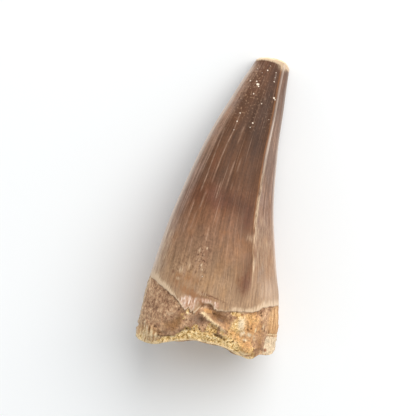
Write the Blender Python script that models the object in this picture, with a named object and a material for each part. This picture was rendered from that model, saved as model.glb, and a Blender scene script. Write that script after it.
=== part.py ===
"""Fossil mosasaur tooth lying on its side, as one grown piece.

The tooth is lofted ring by ring: from the floor of the broken hollow in its
base, out over the rim, up the root stub, over the enamel ledge and along the
crown to the worn tip. The tip points along +Y, the long convex edge faces -X
and the underside rests on z = 0. Lengths below are millimetres.
"""

import math

import bmesh
import bpy
from mathutils import Vector, noise

MM = 0.001

# Driving dimensions
CENTRE_X, CENTRE_Y = -0.09, 24.286  # halfway across and along the tooth: the origin
COLUMNS = 72  # vertices round every ring
ROOT_RINGS = 10  # rings from the broken rim to the enamel margin
CROWN_RINGS = 38  # rings from the enamel margin to the tip's edge
HOLLOW_RINGS = 8  # rings across the broken base
TIP_RINGS = 3  # rings across the worn tip
HOLLOW_DEPTH = 3.2  # how far the broken base is dished
ENAMEL_STEP = 0.32  # height of the enamel above the dentine at its margin
CARINA_HEIGHT = 0.3  # how far each cutting edge stands out
CARINA_WIDTH = 0.42  # half width of a cutting edge's foot
FOOT_SINK = 0.3  # how much of the underside is worn flat to rest on
TIP_LEAN = 0.45  # how far the worn tip's upper edge lies behind its lower one

# Outline seen from above: (distance from the base, x)
LEFT_EDGE = [(0, -11.12), (4, -11.2), (8, -11.15), (12, -10.82), (16, -10.44), (20, -9.92), (24, -9.2),
             (28, -8.4), (32, -7.48), (36, -6.38), (40, -4.98), (44, -3.6), (47, -2.38), (49, -1.66)]
RIGHT_EDGE = [(0, 11.3), (4, 11.22), (6, 10.95), (8, 10.6), (10, 10.1), (12, 9.6), (14, 8.9), (16, 8.28),
              (20, 7.12), (24, 6.06), (28, 5.32), (32, 4.78), (36, 4.32), (40, 4.06), (44, 3.7), (49, 3.34)]
CARINA_LINE = [(0, 5.7), (12, 5.0), (16, 4.3), (20, 3.52), (24, 3.1), (28, 2.86), (32, 2.68), (36, 2.62),
               (40, 2.54), (44, 2.4), (49, 2.3)]
# Height of the underside and of the top: (distance from the base, z)
UNDERSIDE = [(0, -0.2), (3, -0.36), (7, -0.34), (10, 0.0), (16, 0.8), (26, 1.25), (36, 0.85), (43, 0.2),
             (47, 0.0), (49, 0.1)]
TOP = [(0, 16.6), (4, 16.7), (8, 16.5), (12, 16.1), (20, 14.7), (28, 12.5), (36, 9.5), (42, 6.9),
       (46, 5.1), (49, 4.1)]

# Broken rim seen from above: (x, distance from the base)
RIM = [(-11.3, 0.4), (-10.9, 0.12), (-10.1, -0.06), (-8.95, -0.14), (-7.7, 0.07), (-6.5, 0.59), (-5.1, 1.14),
       (-3.8, 1.62), (-2.4, 1.94), (-0.8, 2.07), (0.9, 2.11), (2.5, 2.0), (3.9, 1.74), (5.0, 1.33),
       (6.04, 1.08), (7.07, 0.9), (7.85, 1.08), (8.5, 1.7), (9.2, 1.95), (10.0, 2.0), (10.7, 2.25),
       (11.3, 2.9)]
# Lower margin of the enamel on the top face: (x, distance from the base)
MARGIN = [(-11.3, 10.3), (-10.7, 10.0), (-9.1, 9.25), (-8.0, 8.7), (-7.0, 8.2), (-6.1, 7.75), (-5.2, 7.0),
          (-4.2, 6.55), (-3.1, 6.35), (-2.4, 6.9), (-1.7, 7.8), (-0.6, 8.0), (0.5, 7.35), (2.0, 7.5), (4.2, 7.9),
          (6.2, 8.3), (7.3, 8.9), (8.3, 9.5), (9.2, 9.75), (10.1, 10.0), (11.3, 10.2)]
# Worn tip seen from above: (x, distance from the base)
TIP = [(-2.3, 47.7), (-1.9, 48.05), (-1.2, 48.4), (0.1, 48.63), (1.4, 48.68), (2.4, 48.5), (3.0, 48.12),
       (3.5, 47.4)]

# Raised and sunken places on the top face:
# (x, distance from the base, half width, half length, turned by degrees, height)
RELIEF = [
    (6.3, 2.4, 1.0, 1.15, 0, 0.55),  # rounded nodule of cemented sand on the rim
    (8.3, 3.6, 0.7, 2.2, 0, 0.2),  # its brown outer half
    (4.7, 6.2, 0.9, 1.1, 0, 0.4),  # crust of pale sand below the enamel
    (6.3, 6.6, 1.1, 1.5, 0, 0.3),  # crust of golden sand beside it
    (1.2, 6.2, 1.3, 0.75, -15, -0.6),  # flaked hollow under the enamel
    (-0.7, 7.6, 0.55, 0.5, 0, -0.5),  # recess in the enamel edge
    (0.8, 5.3, 2.6, 0.35, -22, 0.45),  # ridge of dentine along the hollow
    (-1.7, 5.4, 0.9, 0.6, 0, -0.35),  # grey scar
    (1.4, 3.5, 0.5, 0.25, -10, -0.45),  # pit in the sand
    (-7.4, 1.8, 0.4, 0.5, 0, -0.3),  # pit near the left lobe
    (-8.9, 1.5, 0.5, 1.1, 10, 0.2),  # splintered dentine of the left lobe
    (7.5, 8.2, 0.4, 0.4, 0, -0.35),  # dark pit under the enamel
    (10.0, 3.9, 0.9, 1.3, 0, -0.3),  # chip out of the right corner
    (9.2, 2.5, 0.35, 0.4, 0, -0.3),  # notch between chip and nodule
    (-1.0, 43.7, 0.35, 0.35, 0, -0.12),  # dimples near the tip
    (0.3, 40.5, 0.3, 0.3, 0, -0.12),
]

# Share of the way round at which each part of a section ends, from the cutting
# edge over the crest, the left edge, the underside and the right edge
CREST, LEFT, UNDER, RIGHT = 0.17, 0.39, 0.61, 0.82


def curve(points, at):
    """A smooth line through the points, read at one place."""
    if at <= points[0][0]:
        return points[0][1]
    if at >= points[-1][0]:
        return points[-1][1]
    i = next(k for k in range(1, len(points)) if points[k][0] >= at)
    (x0, y0), (x1, y1) = points[i - 1], points[i]
    before = points[max(i - 2, 0)]
    after = points[min(i + 1, len(points) - 1)]
    slope0 = (y1 - before[1]) / (x1 - before[0])
    slope1 = (after[1] - y0) / (after[0] - x0)
    step = x1 - x0
    u = (at - x0) / step
    rise = (2 * u**3 - 3 * u**2 + 1) * y0 + (3 * u**2 - 2 * u**3) * y1
    return rise + step * ((u**3 - 2 * u**2 + u) * slope0 + (u**3 - u**2) * slope1)


def ease(low, high, at):
    """0 below low, 1 above high and smooth between them."""
    u = min(max((at - low) / (high - low), 0.0), 1.0)
    return u * u * (3 - 2 * u)


def arc(start, end, share, power):
    """A quarter of a superellipse, upright at the start and level at the end."""
    angle = share * math.pi / 2
    x = end[0] + (start[0] - end[0]) * math.cos(angle) ** (2 / power)
    z = start[1] + (end[1] - start[1]) * math.sin(angle) ** (2 / power)
    return x, z


def section(turn, y):
    """Point of the smooth section at distance y, turn running from 0 to 1."""
    left, right, edge = curve(LEFT_EDGE, y), curve(RIGHT_EDGE, y), curve(CARINA_LINE, y)
    low, high = curve(UNDERSIDE, y), curve(TOP, y)
    tall = high - low
    crest = (left + 0.55 * (edge - left), high)
    carina = (edge, high - (0.1 - 0.05 * ease(6.0, 16.0, y)) * tall)
    left_side, right_side = (left, low + 0.5 * tall), (right, low + 0.44 * tall)
    bottom = ((left + right) / 2, low)
    if turn < CREST:
        u = 1 - turn / CREST
        x = crest[0] + (carina[0] - crest[0]) * u
        return x, crest[1] + (carina[1] - crest[1]) * u * u
    if turn < LEFT:
        return arc(left_side, crest, (LEFT - turn) / (LEFT - CREST), 2.6)
    if turn < UNDER:
        return arc(left_side, bottom, (turn - LEFT) / (UNDER - LEFT), 2.25)
    if turn < RIGHT:
        return arc(right_side, bottom, (RIGHT - turn) / (RIGHT - UNDER), 2.25)
    return flank(right_side, carina, (turn - RIGHT) / (1 - RIGHT), y)


def flank(right_side, carina, share, y):
    """The strip between the right edge and the cutting edge, flatter towards the tip."""
    power = 1.95 - 0.5 * ease(5.0, 18.0, y)
    span = right_side[0] - carina[0]
    foot = carina[0] - 0.8 * span
    reach = right_side[0] - foot
    last = math.acos((0.8 * span / reach) ** (power / 2))
    angle = share * last
    x = foot + reach * math.cos(angle) ** (2 / power)
    rise = (math.sin(angle) / math.sin(last)) ** (2 / power)
    return x, right_side[1] + (carina[1] - right_side[1]) * rise


def rim_y(turn):
    """Where the broken rim lies, a little higher up on the hidden underside."""
    x = section(turn, 2.0)[0]
    under = math.sin(math.pi * (turn - LEFT) / (RIGHT - LEFT)) if LEFT < turn < RIGHT else 0.0
    wave = noise.noise(Vector((turn * 14, 3.1, 0.4)))
    return curve(RIM, x) + under * (1.1 + 0.9 * wave)


def margin_y(turn):
    """Where the enamel ends, round the whole tooth."""
    y = 8.5
    for _ in range(3):
        y = curve(MARGIN, section(turn, y)[0])
    under = math.sin(math.pi * (turn - LEFT) / (RIGHT - LEFT)) if LEFT < turn < RIGHT else 0.0
    wave = noise.noise(Vector((turn * 11, 7.7, 2.4)))
    return y * (1 - under) + under * (9.6 + 1.3 * wave)


def tip_face(x, z):
    """The worn tip as a face: it leans back a little, so it shows from above."""
    return curve(TIP, x) - TIP_LEAN * ease(0.0, 4.2, z)


def tip_y(turn):
    """Where the worn tip begins."""
    return tip_face(*section(turn, 48.2))


def placed(spot, x, y):
    """How much of one raised or sunken place reaches x, y."""
    cx, cy, wide, long, turned, height = spot
    angle = math.radians(turned)
    dx, dy = x - cx, y - cy
    along = dx * math.cos(angle) + dy * math.sin(angle)
    across = dy * math.cos(angle) - dx * math.sin(angle)
    return height * math.exp(-((along / wide) ** 2) - (across / long) ** 2)


def relief(turn, x, y, on_enamel):
    """How far the surface stands out from the smooth section."""
    out = 0.0
    top = turn < LEFT or turn > RIGHT
    if top:
        out += sum(placed(spot, x, y) for spot in RELIEF)
    grown = ease(11.0, 17.0, y)
    reach = min(turn, 1 - turn) * around(y)
    out += CARINA_HEIGHT * grown * math.exp(-reach / CARINA_WIDTH)
    hidden = abs(turn - (LEFT + 0.1)) * around(y)
    out += 0.8 * CARINA_HEIGHT * grown * math.exp(-hidden / CARINA_WIDTH)
    waves = math.sin(turn * math.tau * 9 + 1.0) + 0.5 * math.sin(turn * math.tau * 17)
    flutes = 0.05 * waves * ease(12, 24, y) * (1 - ease(38, 46, y))
    if on_enamel:
        return out + flutes
    rough = 0.16 if top else 0.22
    lumps = noise.fractal(Vector((x * 0.9, y * 0.9, turn * 9)), 0.8, 2.1, 3)
    sand = 1 - ease(2.5, 6.0, y - curve(RIM, x))
    return out + rough * lumps * (0.5 + sand)


def around(y):
    """Rough distance round a section."""
    return 2.7 * (curve(RIGHT_EDGE, y) - curve(LEFT_EDGE, y))


def wall_point(turn, y, on_enamel):
    """Point of the outer wall, with its relief."""
    x, z = section(turn, y)
    x1, z1 = section((turn + 0.004) % 1.0, y)
    x0, z0 = section((turn - 0.004) % 1.0, y)
    out = Vector((z1 - z0, 0.0, x0 - x1))
    out.normalize()
    step = 0.0 if on_enamel else ENAMEL_STEP * (0.15 + 0.85 * abs(out.z))
    return Vector((x, y, z)) + out * (relief(turn, x, y, on_enamel) - step)


def rim_bevel(turn, y):
    """The wall rounds inward where it meets the break."""
    near = 1 - ease(0.0, 2.2, y - rim_y(turn))
    return 0.9 * near * near


def root_ring(share):
    """Ring of the root stub, from the rim to the enamel margin."""
    ring = []
    for column in range(COLUMNS):
        turn = column / COLUMNS
        low, high = rim_y(turn), margin_y(turn)
        y = low + (high - 0.12 - low) * share
        point = wall_point(turn, y, False)
        point.z -= rim_bevel(turn, y) * (point.z - 8.4) / 8.4
        ring.append(point)
    return ring


def crown_ring(share):
    """Ring of the crown, from the enamel margin to the worn tip."""
    ring = []
    for column in range(COLUMNS):
        turn = column / COLUMNS
        low, high = margin_y(turn) + 0.12, tip_y(turn)
        ring.append(wall_point(turn, low + (high - low) * share, True))
    return ring


def hollow_ring(share):
    """Ring across the broken base: 0 at its middle, 1 at the rim."""
    edge = root_ring(0.0)
    middle = sum(edge, Vector()) / COLUMNS
    ring = []
    for point in edge:
        spot = middle.lerp(point, share)
        lumps = noise.fractal(Vector((spot.x * 0.32, spot.z * 0.32, 5.0)), 0.8, 2.1, 2)
        dish = HOLLOW_DEPTH * (1 - ease(0.3, 0.92, share))
        spot.y = middle.y + (point.y - middle.y) * share**4
        spot.y += dish + 0.6 * lumps * (1 - share**6)
        ring.append(spot)
    return ring


def tip_ring(share):
    """Ring across the worn tip: 0 at its middle, 1 at the edge."""
    edge = crown_ring(1.0)
    middle = sum(edge, Vector()) / COLUMNS
    ring = []
    for point in edge:
        spot = middle.lerp(point, share)
        spot.y = tip_face(spot.x, spot.z) + 0.12 * (1 - share**2)
        ring.append(spot)
    return ring


def rings():
    """Every ring in order, from the middle of the break to the middle of the tip."""
    made = [hollow_ring(i / HOLLOW_RINGS) for i in range(1, HOLLOW_RINGS)]
    made += [root_ring((i / ROOT_RINGS) ** 1.15) for i in range(ROOT_RINGS + 1)]
    made += [crown_ring(i / CROWN_RINGS) for i in range(CROWN_RINGS + 1)]
    made += [tip_ring(1 - i / (TIP_RINGS + 1)) for i in range(1, TIP_RINGS + 1)]
    return made


def stand(point):
    """From tooth millimetres to the resting object: sunk a little and worn flat."""
    low = max(point.z - FOOT_SINK, 0.0)
    return Vector((point.x - CENTRE_X, point.y - CENTRE_Y, low)) * MM


def move_ring(verts, column, ring):
    """Put the vertices of one extruded loop on a ring."""
    for vert in verts:
        vert.co = stand(ring[vert[column]])


def loft(all_rings):
    """One closed skin: a fan, extruded from ring to ring and closed at the tip."""
    bm = bmesh.new()
    fan = bmesh.ops.create_circle(bm, cap_ends=True, cap_tris=True, segments=COLUMNS, radius=1.0)
    column = bm.verts.layers.int.new("column")
    loop_edges = [edge for edge in bm.edges if edge.is_boundary]
    loop = sorted({vert for edge in loop_edges for vert in edge.verts}, key=lambda v: math.atan2(v.co.y, v.co.x))
    for number, vert in enumerate(loop):
        vert[column] = number
    hub = next(vert for vert in bm.verts if vert not in loop)
    hub.co = stand(sum(all_rings[0], Vector()) / COLUMNS)
    move_ring(loop, column, all_rings[0])
    for ring in all_rings[1:]:
        made = bmesh.ops.extrude_edge_only(bm, edges=loop_edges)["geom"]
        loop_edges = [item for item in made if isinstance(item, bmesh.types.BMEdge) and item.is_boundary]
        move_ring([item for item in made if isinstance(item, bmesh.types.BMVert)], column, ring)
    cap = bmesh.ops.contextual_create(bm, geom=loop_edges)["faces"]
    bmesh.ops.poke(bm, faces=cap)
    bmesh.ops.recalc_face_normals(bm, faces=bm.faces[:])
    bmesh.ops.triangulate(bm, faces=bm.faces[:])
    return bm


def tooth_material():
    """Brown fossil enamel, the colour that most of the tooth shows."""
    material = bpy.data.materials.new("fossil_enamel")
    material.use_nodes = True
    shader = material.node_tree.nodes["Principled BSDF"]
    shader.inputs["Base Color"].default_value = (0.275, 0.155, 0.095, 1.0)
    shader.inputs["Roughness"].default_value = 0.45
    shader.inputs["Metallic"].default_value = 0.0
    return material


def clear_scene():
    """Start from nothing."""
    for item in list(bpy.data.objects):
        bpy.data.objects.remove(item, do_unlink=True)


def build_tooth():
    """The tooth as one object in its own collection."""
    bm = loft(rings())
    mesh = bpy.data.meshes.new("tooth")
    bm.to_mesh(mesh)
    bm.free()
    mesh.materials.append(tooth_material())
    mesh.shade_smooth()
    tooth = bpy.data.objects.new("tooth", mesh)
    collection = bpy.data.collections.new("fossil_mosasaur_tooth")
    bpy.context.scene.collection.children.link(collection)
    collection.objects.link(tooth)
    return tooth


clear_scene()
build_tooth()
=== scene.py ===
"""A fossil mosasaur tooth lying on a pale table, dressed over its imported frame."""

import logging
import math
from collections.abc import Iterator
from contextlib import contextmanager
from dataclasses import dataclass, field
from enum import Enum
from typing import Any

import bmesh
import bpy
import numpy as np
from mathutils import Matrix, Vector, noise


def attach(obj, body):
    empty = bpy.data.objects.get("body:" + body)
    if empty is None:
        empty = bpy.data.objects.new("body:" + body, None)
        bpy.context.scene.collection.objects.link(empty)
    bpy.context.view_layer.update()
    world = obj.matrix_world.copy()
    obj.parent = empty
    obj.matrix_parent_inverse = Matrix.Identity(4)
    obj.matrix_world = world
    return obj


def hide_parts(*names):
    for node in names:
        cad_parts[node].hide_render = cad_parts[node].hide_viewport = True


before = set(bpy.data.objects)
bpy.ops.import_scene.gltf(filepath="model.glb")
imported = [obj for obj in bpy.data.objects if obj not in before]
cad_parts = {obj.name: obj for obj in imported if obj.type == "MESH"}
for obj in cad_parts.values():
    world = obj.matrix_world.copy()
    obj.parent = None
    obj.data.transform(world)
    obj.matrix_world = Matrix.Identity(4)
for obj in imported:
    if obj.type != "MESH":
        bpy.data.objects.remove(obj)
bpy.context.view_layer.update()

log = logging.getLogger("tooth")

Array = np.ndarray
Triple = tuple[float, float, float]
Stations = tuple[tuple[float, float], ...]
Stops = tuple[tuple[float, str], ...]
Rounds = tuple[tuple[Triple, float], ...]

MM = 0.001
FIRST_HUB, LAST_HUB = -1, -2  # rows of the middles of the two fans that shut the skin


class Zone(Enum):
    """Stretches of the skin, in the order in which it is lofted."""

    HOLLOW = 0
    ROOT = 1
    CROWN = 2
    TIP = 3


class Mark(Enum):
    """Named stains, covers and painted light, each kept as a value on every vertex."""

    DARK = "dark"
    AMBER = "amber"
    CREAM = "cream"
    ROSE = "rose"
    GREY = "grey"
    # Flank sheen: greyer enamel beside the outlines, partly painted light and painted reflection.
    FLANK_SHEEN = "flank"
    SAND = "sand"
    # Chalk and highlight: pale crusts and weathered enamel, and on the enamel also painted highlights
    # and reflections.
    CHALK_AND_HIGHLIGHT = "chalk"
    FIBRE = "fibre"
    LINED = "lined"
    PITTED = "pitted"


def ease(low: float, high: float, at: Array) -> Array:
    """Smooth step.

    Args:
        low: Where the step starts from 0.
        high: Where it reaches 1.
        at: Places to read it at.

    Returns:
        Values from 0 to 1.
    """
    u = np.clip((at - low) / (high - low), 0.0, 1.0)
    return u * u * (3 - 2 * u)


def plateau(start: float, full: float, fading: float, end: float, at: Array) -> Array:
    """Smooth rise from 0 at start to 1 at full, and fall from 1 at fading to 0 at end."""
    return ease(start, full, at) * (1 - ease(fading, end, at))


def read_line(stations: Stations, at: Array) -> Array:
    """Smooth line through stations.

    Args:
        stations: Pairs of place and value, in rising order of place.
        at: Places to read the line at.

    Returns:
        The line's values, held level beyond both ends.
    """
    xs, ys = np.array(stations, float).T
    at = np.clip(at, xs[0], xs[-1])
    i = np.clip(np.searchsorted(xs, at, "left"), 1, len(xs) - 1)
    before, after = np.maximum(i - 2, 0), np.minimum(i + 1, len(xs) - 1)
    slope0 = (ys[i] - ys[before]) / (xs[i] - xs[before])
    slope1 = (ys[after] - ys[i - 1]) / (xs[after] - xs[i - 1])
    step = xs[i] - xs[i - 1]
    u = (at - xs[i - 1]) / step
    rise = (2 * u**3 - 3 * u**2 + 1) * ys[i - 1] + (3 * u**2 - 2 * u**3) * ys[i]
    return rise + step * ((u**3 - 2 * u**2 + u) * slope0 + (u**3 - u**2) * slope1)


def bell(at: Array, power: int = 2) -> Array:
    """1 at 0 and falling off smoothly on both sides of it."""
    return np.exp(-(at**power))


def fractal(at: Array, octaves: int, gain: float = 0.9, step: float = 2.0) -> Array:
    """Fractal noise.

    Args:
        at: Places in units of the largest lumps, last axis x, y, z. Shifted
            places give another pattern.
        octaves: How many sizes of lump take part.
        gain: How fast the smaller lumps fade.
        step: How many times smaller each size is than the one before.

    Returns:
        Values of about -1 to 1, one for each place.
    """
    values = [noise.fractal(p, gain, step, octaves) for p in at.reshape(-1, 3).tolist()]
    return np.array(values).reshape(at.shape[:-1])


def waver(at: Array, pace: float, seed: tuple[float, float]) -> Array:
    """Smooth noise of about -1 to 1 along a line, with pace lumps for each unit of at."""
    return np.array([noise.noise(Vector((place * pace, *seed))) for place in at])


@dataclass(frozen=True)
class Spot:
    """A round or oval place on the top face, in millimetres.

    x and y place it, wide and long are its half sizes, amount is a height in
    millimetres or a strength, and turned is in degrees.
    """

    x: float
    y: float
    wide: float
    long: float
    amount: float
    turned: float = 0.0

    def reach(self, x: Array, y: Array) -> Array:
        """How much of the spot there is at each place.

        Args:
            x: Places across the tooth.
            y: Their distances from the base.

        Returns:
            From 0 to the amount.
        """
        angle = math.radians(self.turned)
        dx, dy = x - self.x, y - self.y
        along = dx * math.cos(angle) + dy * math.sin(angle)
        across = dy * math.cos(angle) - dx * math.sin(angle)
        return self.amount * np.exp(-((along / self.wide) ** 2) - (across / self.long) ** 2)


@dataclass(frozen=True)
class Hairline:
    """A thin line on the top face from one point to another, in millimetres."""

    x0: float
    y0: float
    x1: float
    y1: float
    wide: float
    amount: float

    def reach(self, x: Array, y: Array) -> Array:
        """How much of the line there is at each place.

        Args:
            x: Places across the tooth.
            y: Their distances from the base.

        Returns:
            From 0 to the amount.
        """
        run = np.array([self.x1 - self.x0, self.y1 - self.y0])
        length = float(np.hypot(*run))
        along = ((x - self.x0) * run[0] + (y - self.y0) * run[1]) / length
        across = ((x - self.x0) * run[1] - (y - self.y0) * run[0]) / length
        drawn = plateau(-0.3, 0.5, length - 0.5, length + 0.3, along)
        return self.amount * drawn * bell(across / self.wide)


def crack(start: tuple[float, float], *legs: tuple[float, float, float, float]) -> tuple[Hairline, ...]:
    """A crooked line of several straight ones.

    Args:
        start: x and y of its start.
        legs: x and y of the end of each straight line, its width and its amount.

    Returns:
        The straight lines.
    """
    starts = [start, *(leg[:2] for leg in legs)]
    return tuple(Hairline(*begin, *leg) for begin, leg in zip(starts, legs))


@dataclass(frozen=True)
class Block:
    """A four-sided place on the top face from x0, y0 to x1, y1, in millimetres."""

    x0: float
    y0: float
    x1: float
    y1: float
    soft: float
    amount: float

    def reach(self, x: Array, y: Array) -> Array:
        """How much of the block there is at each place.

        Args:
            x: Places across the tooth.
            y: Their distances from the base.

        Returns:
            From 0 to the amount.
        """
        sides = ((self.x0, x, 1), (self.x1, x, -1), (self.y0, y, 1), (self.y1, y, -1))
        inside = [ease(-self.soft, self.soft, (at - edge) * way) for edge, at, way in sides]
        return self.amount * np.prod(inside, axis=0)


Places = tuple[Spot | Hairline | Block, ...]


@dataclass
class ToothForm:
    """The tooth's smooth shape in millimetres, the same as the solid's.

    Distances run from the broken base towards the tip. A turn runs from 0 at
    the cutting edge on the top face, over the crest, the left edge and the
    underside, and back over the right edge to 1.
    """

    centre_x: float = -0.09  # the object's origin, from the middle of the broken base
    centre_y: float = 24.286
    foot_sink: float = 0.3  # how deep the underside is worn flat
    tip_lean: float = 0.45
    enamel_step: float = 0.32
    carina_height: float = 0.3
    carina_width: float = 0.42
    hollow_depth: float = 3.2
    crest: float = 0.17  # turns at the crest, the left edge, the underside's middle and the right edge
    left: float = 0.39
    under: float = 0.61
    right: float = 0.82
    crest_share: float = 0.55  # of the way from the left edge to the cutting edge
    left_share: float = 0.5  # of the height
    right_share: float = 0.44
    edge_drop: tuple[float, float] = (0.1, 0.05)  # of the height, at the base and how much less above
    top_power: float = 2.6
    under_power: float = 2.25
    flank_power: float = 1.95
    hidden_edge: float = 0.49  # turn of the second cutting edge, on the underside
    rim_rise: float = 1.1  # how much farther up the broken rim lies on the underside
    under_margin: float = 9.6  # where the enamel ends there
    tip_bulge: float = 0.12
    wall_dip: float = 0.9  # how far the broken wall's edge closes in
    half_height: float = 8.4  # at the base
    left_edge: Stations = (
        (0, -11.12), (4, -11.2), (8, -11.15), (12, -10.82), (16, -10.44), (20, -9.92), (24, -9.2),
        (28, -8.4), (32, -7.48), (36, -6.38), (40, -4.98), (44, -3.6), (47, -2.38), (49, -1.66))
    right_edge: Stations = (
        (0, 11.3), (4, 11.22), (6, 10.95), (8, 10.6), (10, 10.1), (12, 9.6), (14, 8.9), (16, 8.28),
        (20, 7.12), (24, 6.06), (28, 5.32), (32, 4.78), (36, 4.32), (40, 4.06), (44, 3.7), (49, 3.34))
    carina_line: Stations = (
        (0, 5.7), (12, 5.0), (16, 4.3), (20, 3.52), (24, 3.1), (28, 2.86), (32, 2.68), (36, 2.62),
        (40, 2.54), (44, 2.4), (49, 2.3))
    underside: Stations = (
        (0, -0.2), (3, -0.36), (7, -0.34), (10, 0.0), (16, 0.8), (26, 1.25), (36, 0.85), (43, 0.2),
        (47, 0.0), (49, 0.1))
    top: Stations = (
        (0, 16.6), (4, 16.7), (8, 16.5), (12, 16.1), (20, 14.7), (28, 12.5), (36, 9.5), (42, 6.9),
        (46, 5.1), (49, 4.1))
    rim_line: Stations = (
        (-11.3, 0.4), (-10.9, 0.12), (-10.1, -0.06), (-8.95, -0.14), (-7.7, 0.07), (-6.5, 0.59),
        (-5.1, 1.14), (-3.8, 1.62), (-2.4, 1.94), (-0.8, 2.07), (0.9, 2.11), (2.5, 2.0), (3.9, 1.74),
        (5.0, 1.33), (6.04, 1.08), (7.07, 0.9), (7.85, 1.08), (8.5, 1.7), (9.2, 1.95), (10.0, 2.0),
        (10.7, 2.25), (11.3, 2.9))
    margin_line: Stations = (
        (-11.3, 10.3), (-10.7, 10.0), (-9.9, 9.7), (-9.1, 9.25), (-8.0, 8.7), (-7.0, 8.2), (-6.1, 7.75),
        (-5.4, 7.2), (-4.8, 6.7), (-4.2, 6.55), (-3.5, 6.35), (-2.9, 6.4), (-2.4, 6.9), (-2.0, 7.5),
        (-1.5, 7.95), (-0.5, 8.0), (0.0, 7.7), (0.5, 7.35), (1.0, 7.35), (2.0, 7.5), (3.2, 7.7),
        (4.2, 7.9), (5.2, 8.1), (6.2, 8.3), (6.9, 8.6), (7.5, 9.2), (8.3, 9.5), (9.2, 9.75),
        (10.1, 10.0), (11.3, 10.2))
    tip_line: Stations = (
        (-2.3, 47.7), (-1.9, 48.05), (-1.2, 48.4), (0.1, 48.63), (1.4, 48.68), (2.4, 48.5), (3.0, 48.12),
        (3.5, 47.4))

    def section(self, turn: Array, y: Array) -> tuple[Array, Array]:
        """Smooth section.

        Args:
            turn: Places round the section, from 0 to 1.
            y: Distances from the base.

        Returns:
            x and z of each place.
        """
        left, right = read_line(self.left_edge, y), read_line(self.right_edge, y)
        edge = read_line(self.carina_line, y)
        low, high = read_line(self.underside, y), read_line(self.top, y)
        tall = high - low
        crest_x = left + self.crest_share * (edge - left)
        drop, less = self.edge_drop
        carina_z = high - (drop - less * ease(6.0, 16.0, y)) * tall
        left_z, right_z = low + self.left_share * tall, low + self.right_share * tall
        middle = (left + right) / 2
        u = np.clip(1 - turn / self.crest, 0, 1)
        face = (crest_x + (edge - crest_x) * u, high + (carina_z - high) * u * u)
        crestwards = (self.left - turn) / (self.left - self.crest)
        from_left = (turn - self.left) / (self.under - self.left)
        from_right = (self.right - turn) / (self.right - self.under)
        edgewards = (turn - self.right) / (1 - self.right)
        parts = [
            face,
            self.arc(left, left_z, crest_x, high, crestwards, self.top_power),
            self.arc(left, left_z, middle, low, from_left, self.under_power),
            self.arc(right, right_z, middle, low, from_right, self.under_power),
            self.flank(right, right_z, edge, carina_z, edgewards, y),
        ]
        where = [turn < self.crest, turn < self.left, turn < self.under, turn < self.right]
        x = np.select(where, [part[0] for part in parts[:4]], parts[4][0])
        z = np.select(where, [part[1] for part in parts[:4]], parts[4][1])
        return x, z

    @staticmethod
    def arc(x0: Array, z0: Array, x1: Array, z1: Array, share: Array,
            power: float) -> tuple[Array, Array]:
        """Quarter of a superellipse.

        Args:
            x0: Start, where the arc is upright.
            z0: Height of the start.
            x1: End, where the arc is level.
            z1: Height of the end.
            share: How far along the arc, from 0 to 1.
            power: 2 is an ellipse, more is squarer.

        Returns:
            x and z of each place.
        """
        angle = np.clip(share, 0, 1) * math.pi / 2
        x = x1 + (x0 - x1) * np.clip(np.cos(angle), 0, 1) ** (2 / power)
        z = z0 + (z1 - z0) * np.clip(np.sin(angle), 0, 1) ** (2 / power)
        return x, z

    def flank(self, right: Array, right_z: Array, edge: Array, edge_z: Array, share: Array,
              y: Array) -> tuple[Array, Array]:
        """The strip between the right edge and the cutting edge, flatter towards the tip.

        Args:
            right: x of the right edge.
            right_z: Height of the right edge.
            edge: x of the cutting edge.
            edge_z: Height of the cutting edge.
            share: How far from the right edge to the cutting edge.
            y: Distances from the base.

        Returns:
            x and z of each place.
        """
        power = self.flank_power - 0.5 * ease(5.0, 18.0, y)
        beyond = 0.8 * (right - edge)  # the full curve would run on this far
        foot = edge - beyond
        reach = right - foot
        last = np.arccos(np.clip(beyond / reach, 0, 1) ** (power / 2))
        angle = np.clip(share, 0, 1) * last
        x = foot + reach * np.cos(angle) ** (2 / power)
        rise = (np.sin(angle) / np.sin(last)) ** (2 / power)
        return x, right_z + (edge_z - right_z) * rise

    def on_top(self, turn: Array) -> Array:
        """Whether places belong to the top face."""
        return (turn < self.left) | (turn > self.right)

    def hidden(self, turn: Array) -> Array:
        """1 at the middle of the underside, 0 on the top face."""
        share = np.clip((turn - self.left) / (self.right - self.left), 0, 1)
        return np.sin(math.pi * share)

    def rim(self, turn: Array) -> Array:
        """Where the broken rim lies, a little farther up on the hidden underside.

        Args:
            turn: Places round the section.

        Returns:
            Distances from the base.
        """
        x = self.section(turn, np.full_like(turn, 2.0))[0]
        rise = self.rim_rise + 0.9 * waver(turn, 14, (3.1, 0.4))
        return read_line(self.rim_line, x) + self.hidden(turn) * rise

    def margin(self, turn: Array) -> Array:
        """Where the enamel ends, round the whole tooth, with its ragged edge.

        Args:
            turn: Places round the section.

        Returns:
            Distances from the base.
        """
        y = np.full_like(turn, 8.5)
        for _ in range(3):
            x = self.section(turn, y)[0]
            y = read_line(self.margin_line, x)
        under = self.hidden(turn)
        wave = waver(turn, 11, (7.7, 2.4))
        frayed = bell((x + 3.7) / 1.4, 4) + 0.7 * bell((x - 0.3) / 0.5)
        splinters = 0.5 * waver(x, 3.1, (4.3, 0.6)) + 0.6 * waver(x, 6.3, (2.2, 8.1))
        ragged = 0.16 * waver(x, 1.9, (1.3, 5.2)) + frayed * splinters
        return y * (1 - under) + under * (self.under_margin + 1.3 * wave) + ragged

    def tip_face(self, x: Array, z: Array) -> Array:
        """The worn tip's distance from the base: it leans back a little."""
        return read_line(self.tip_line, x) - self.tip_lean * ease(0.0, 4.2, z)

    def around(self, y: Array) -> Array:
        """Rough distance round a section."""
        return 2.7 * (read_line(self.right_edge, y) - read_line(self.left_edge, y))


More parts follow.
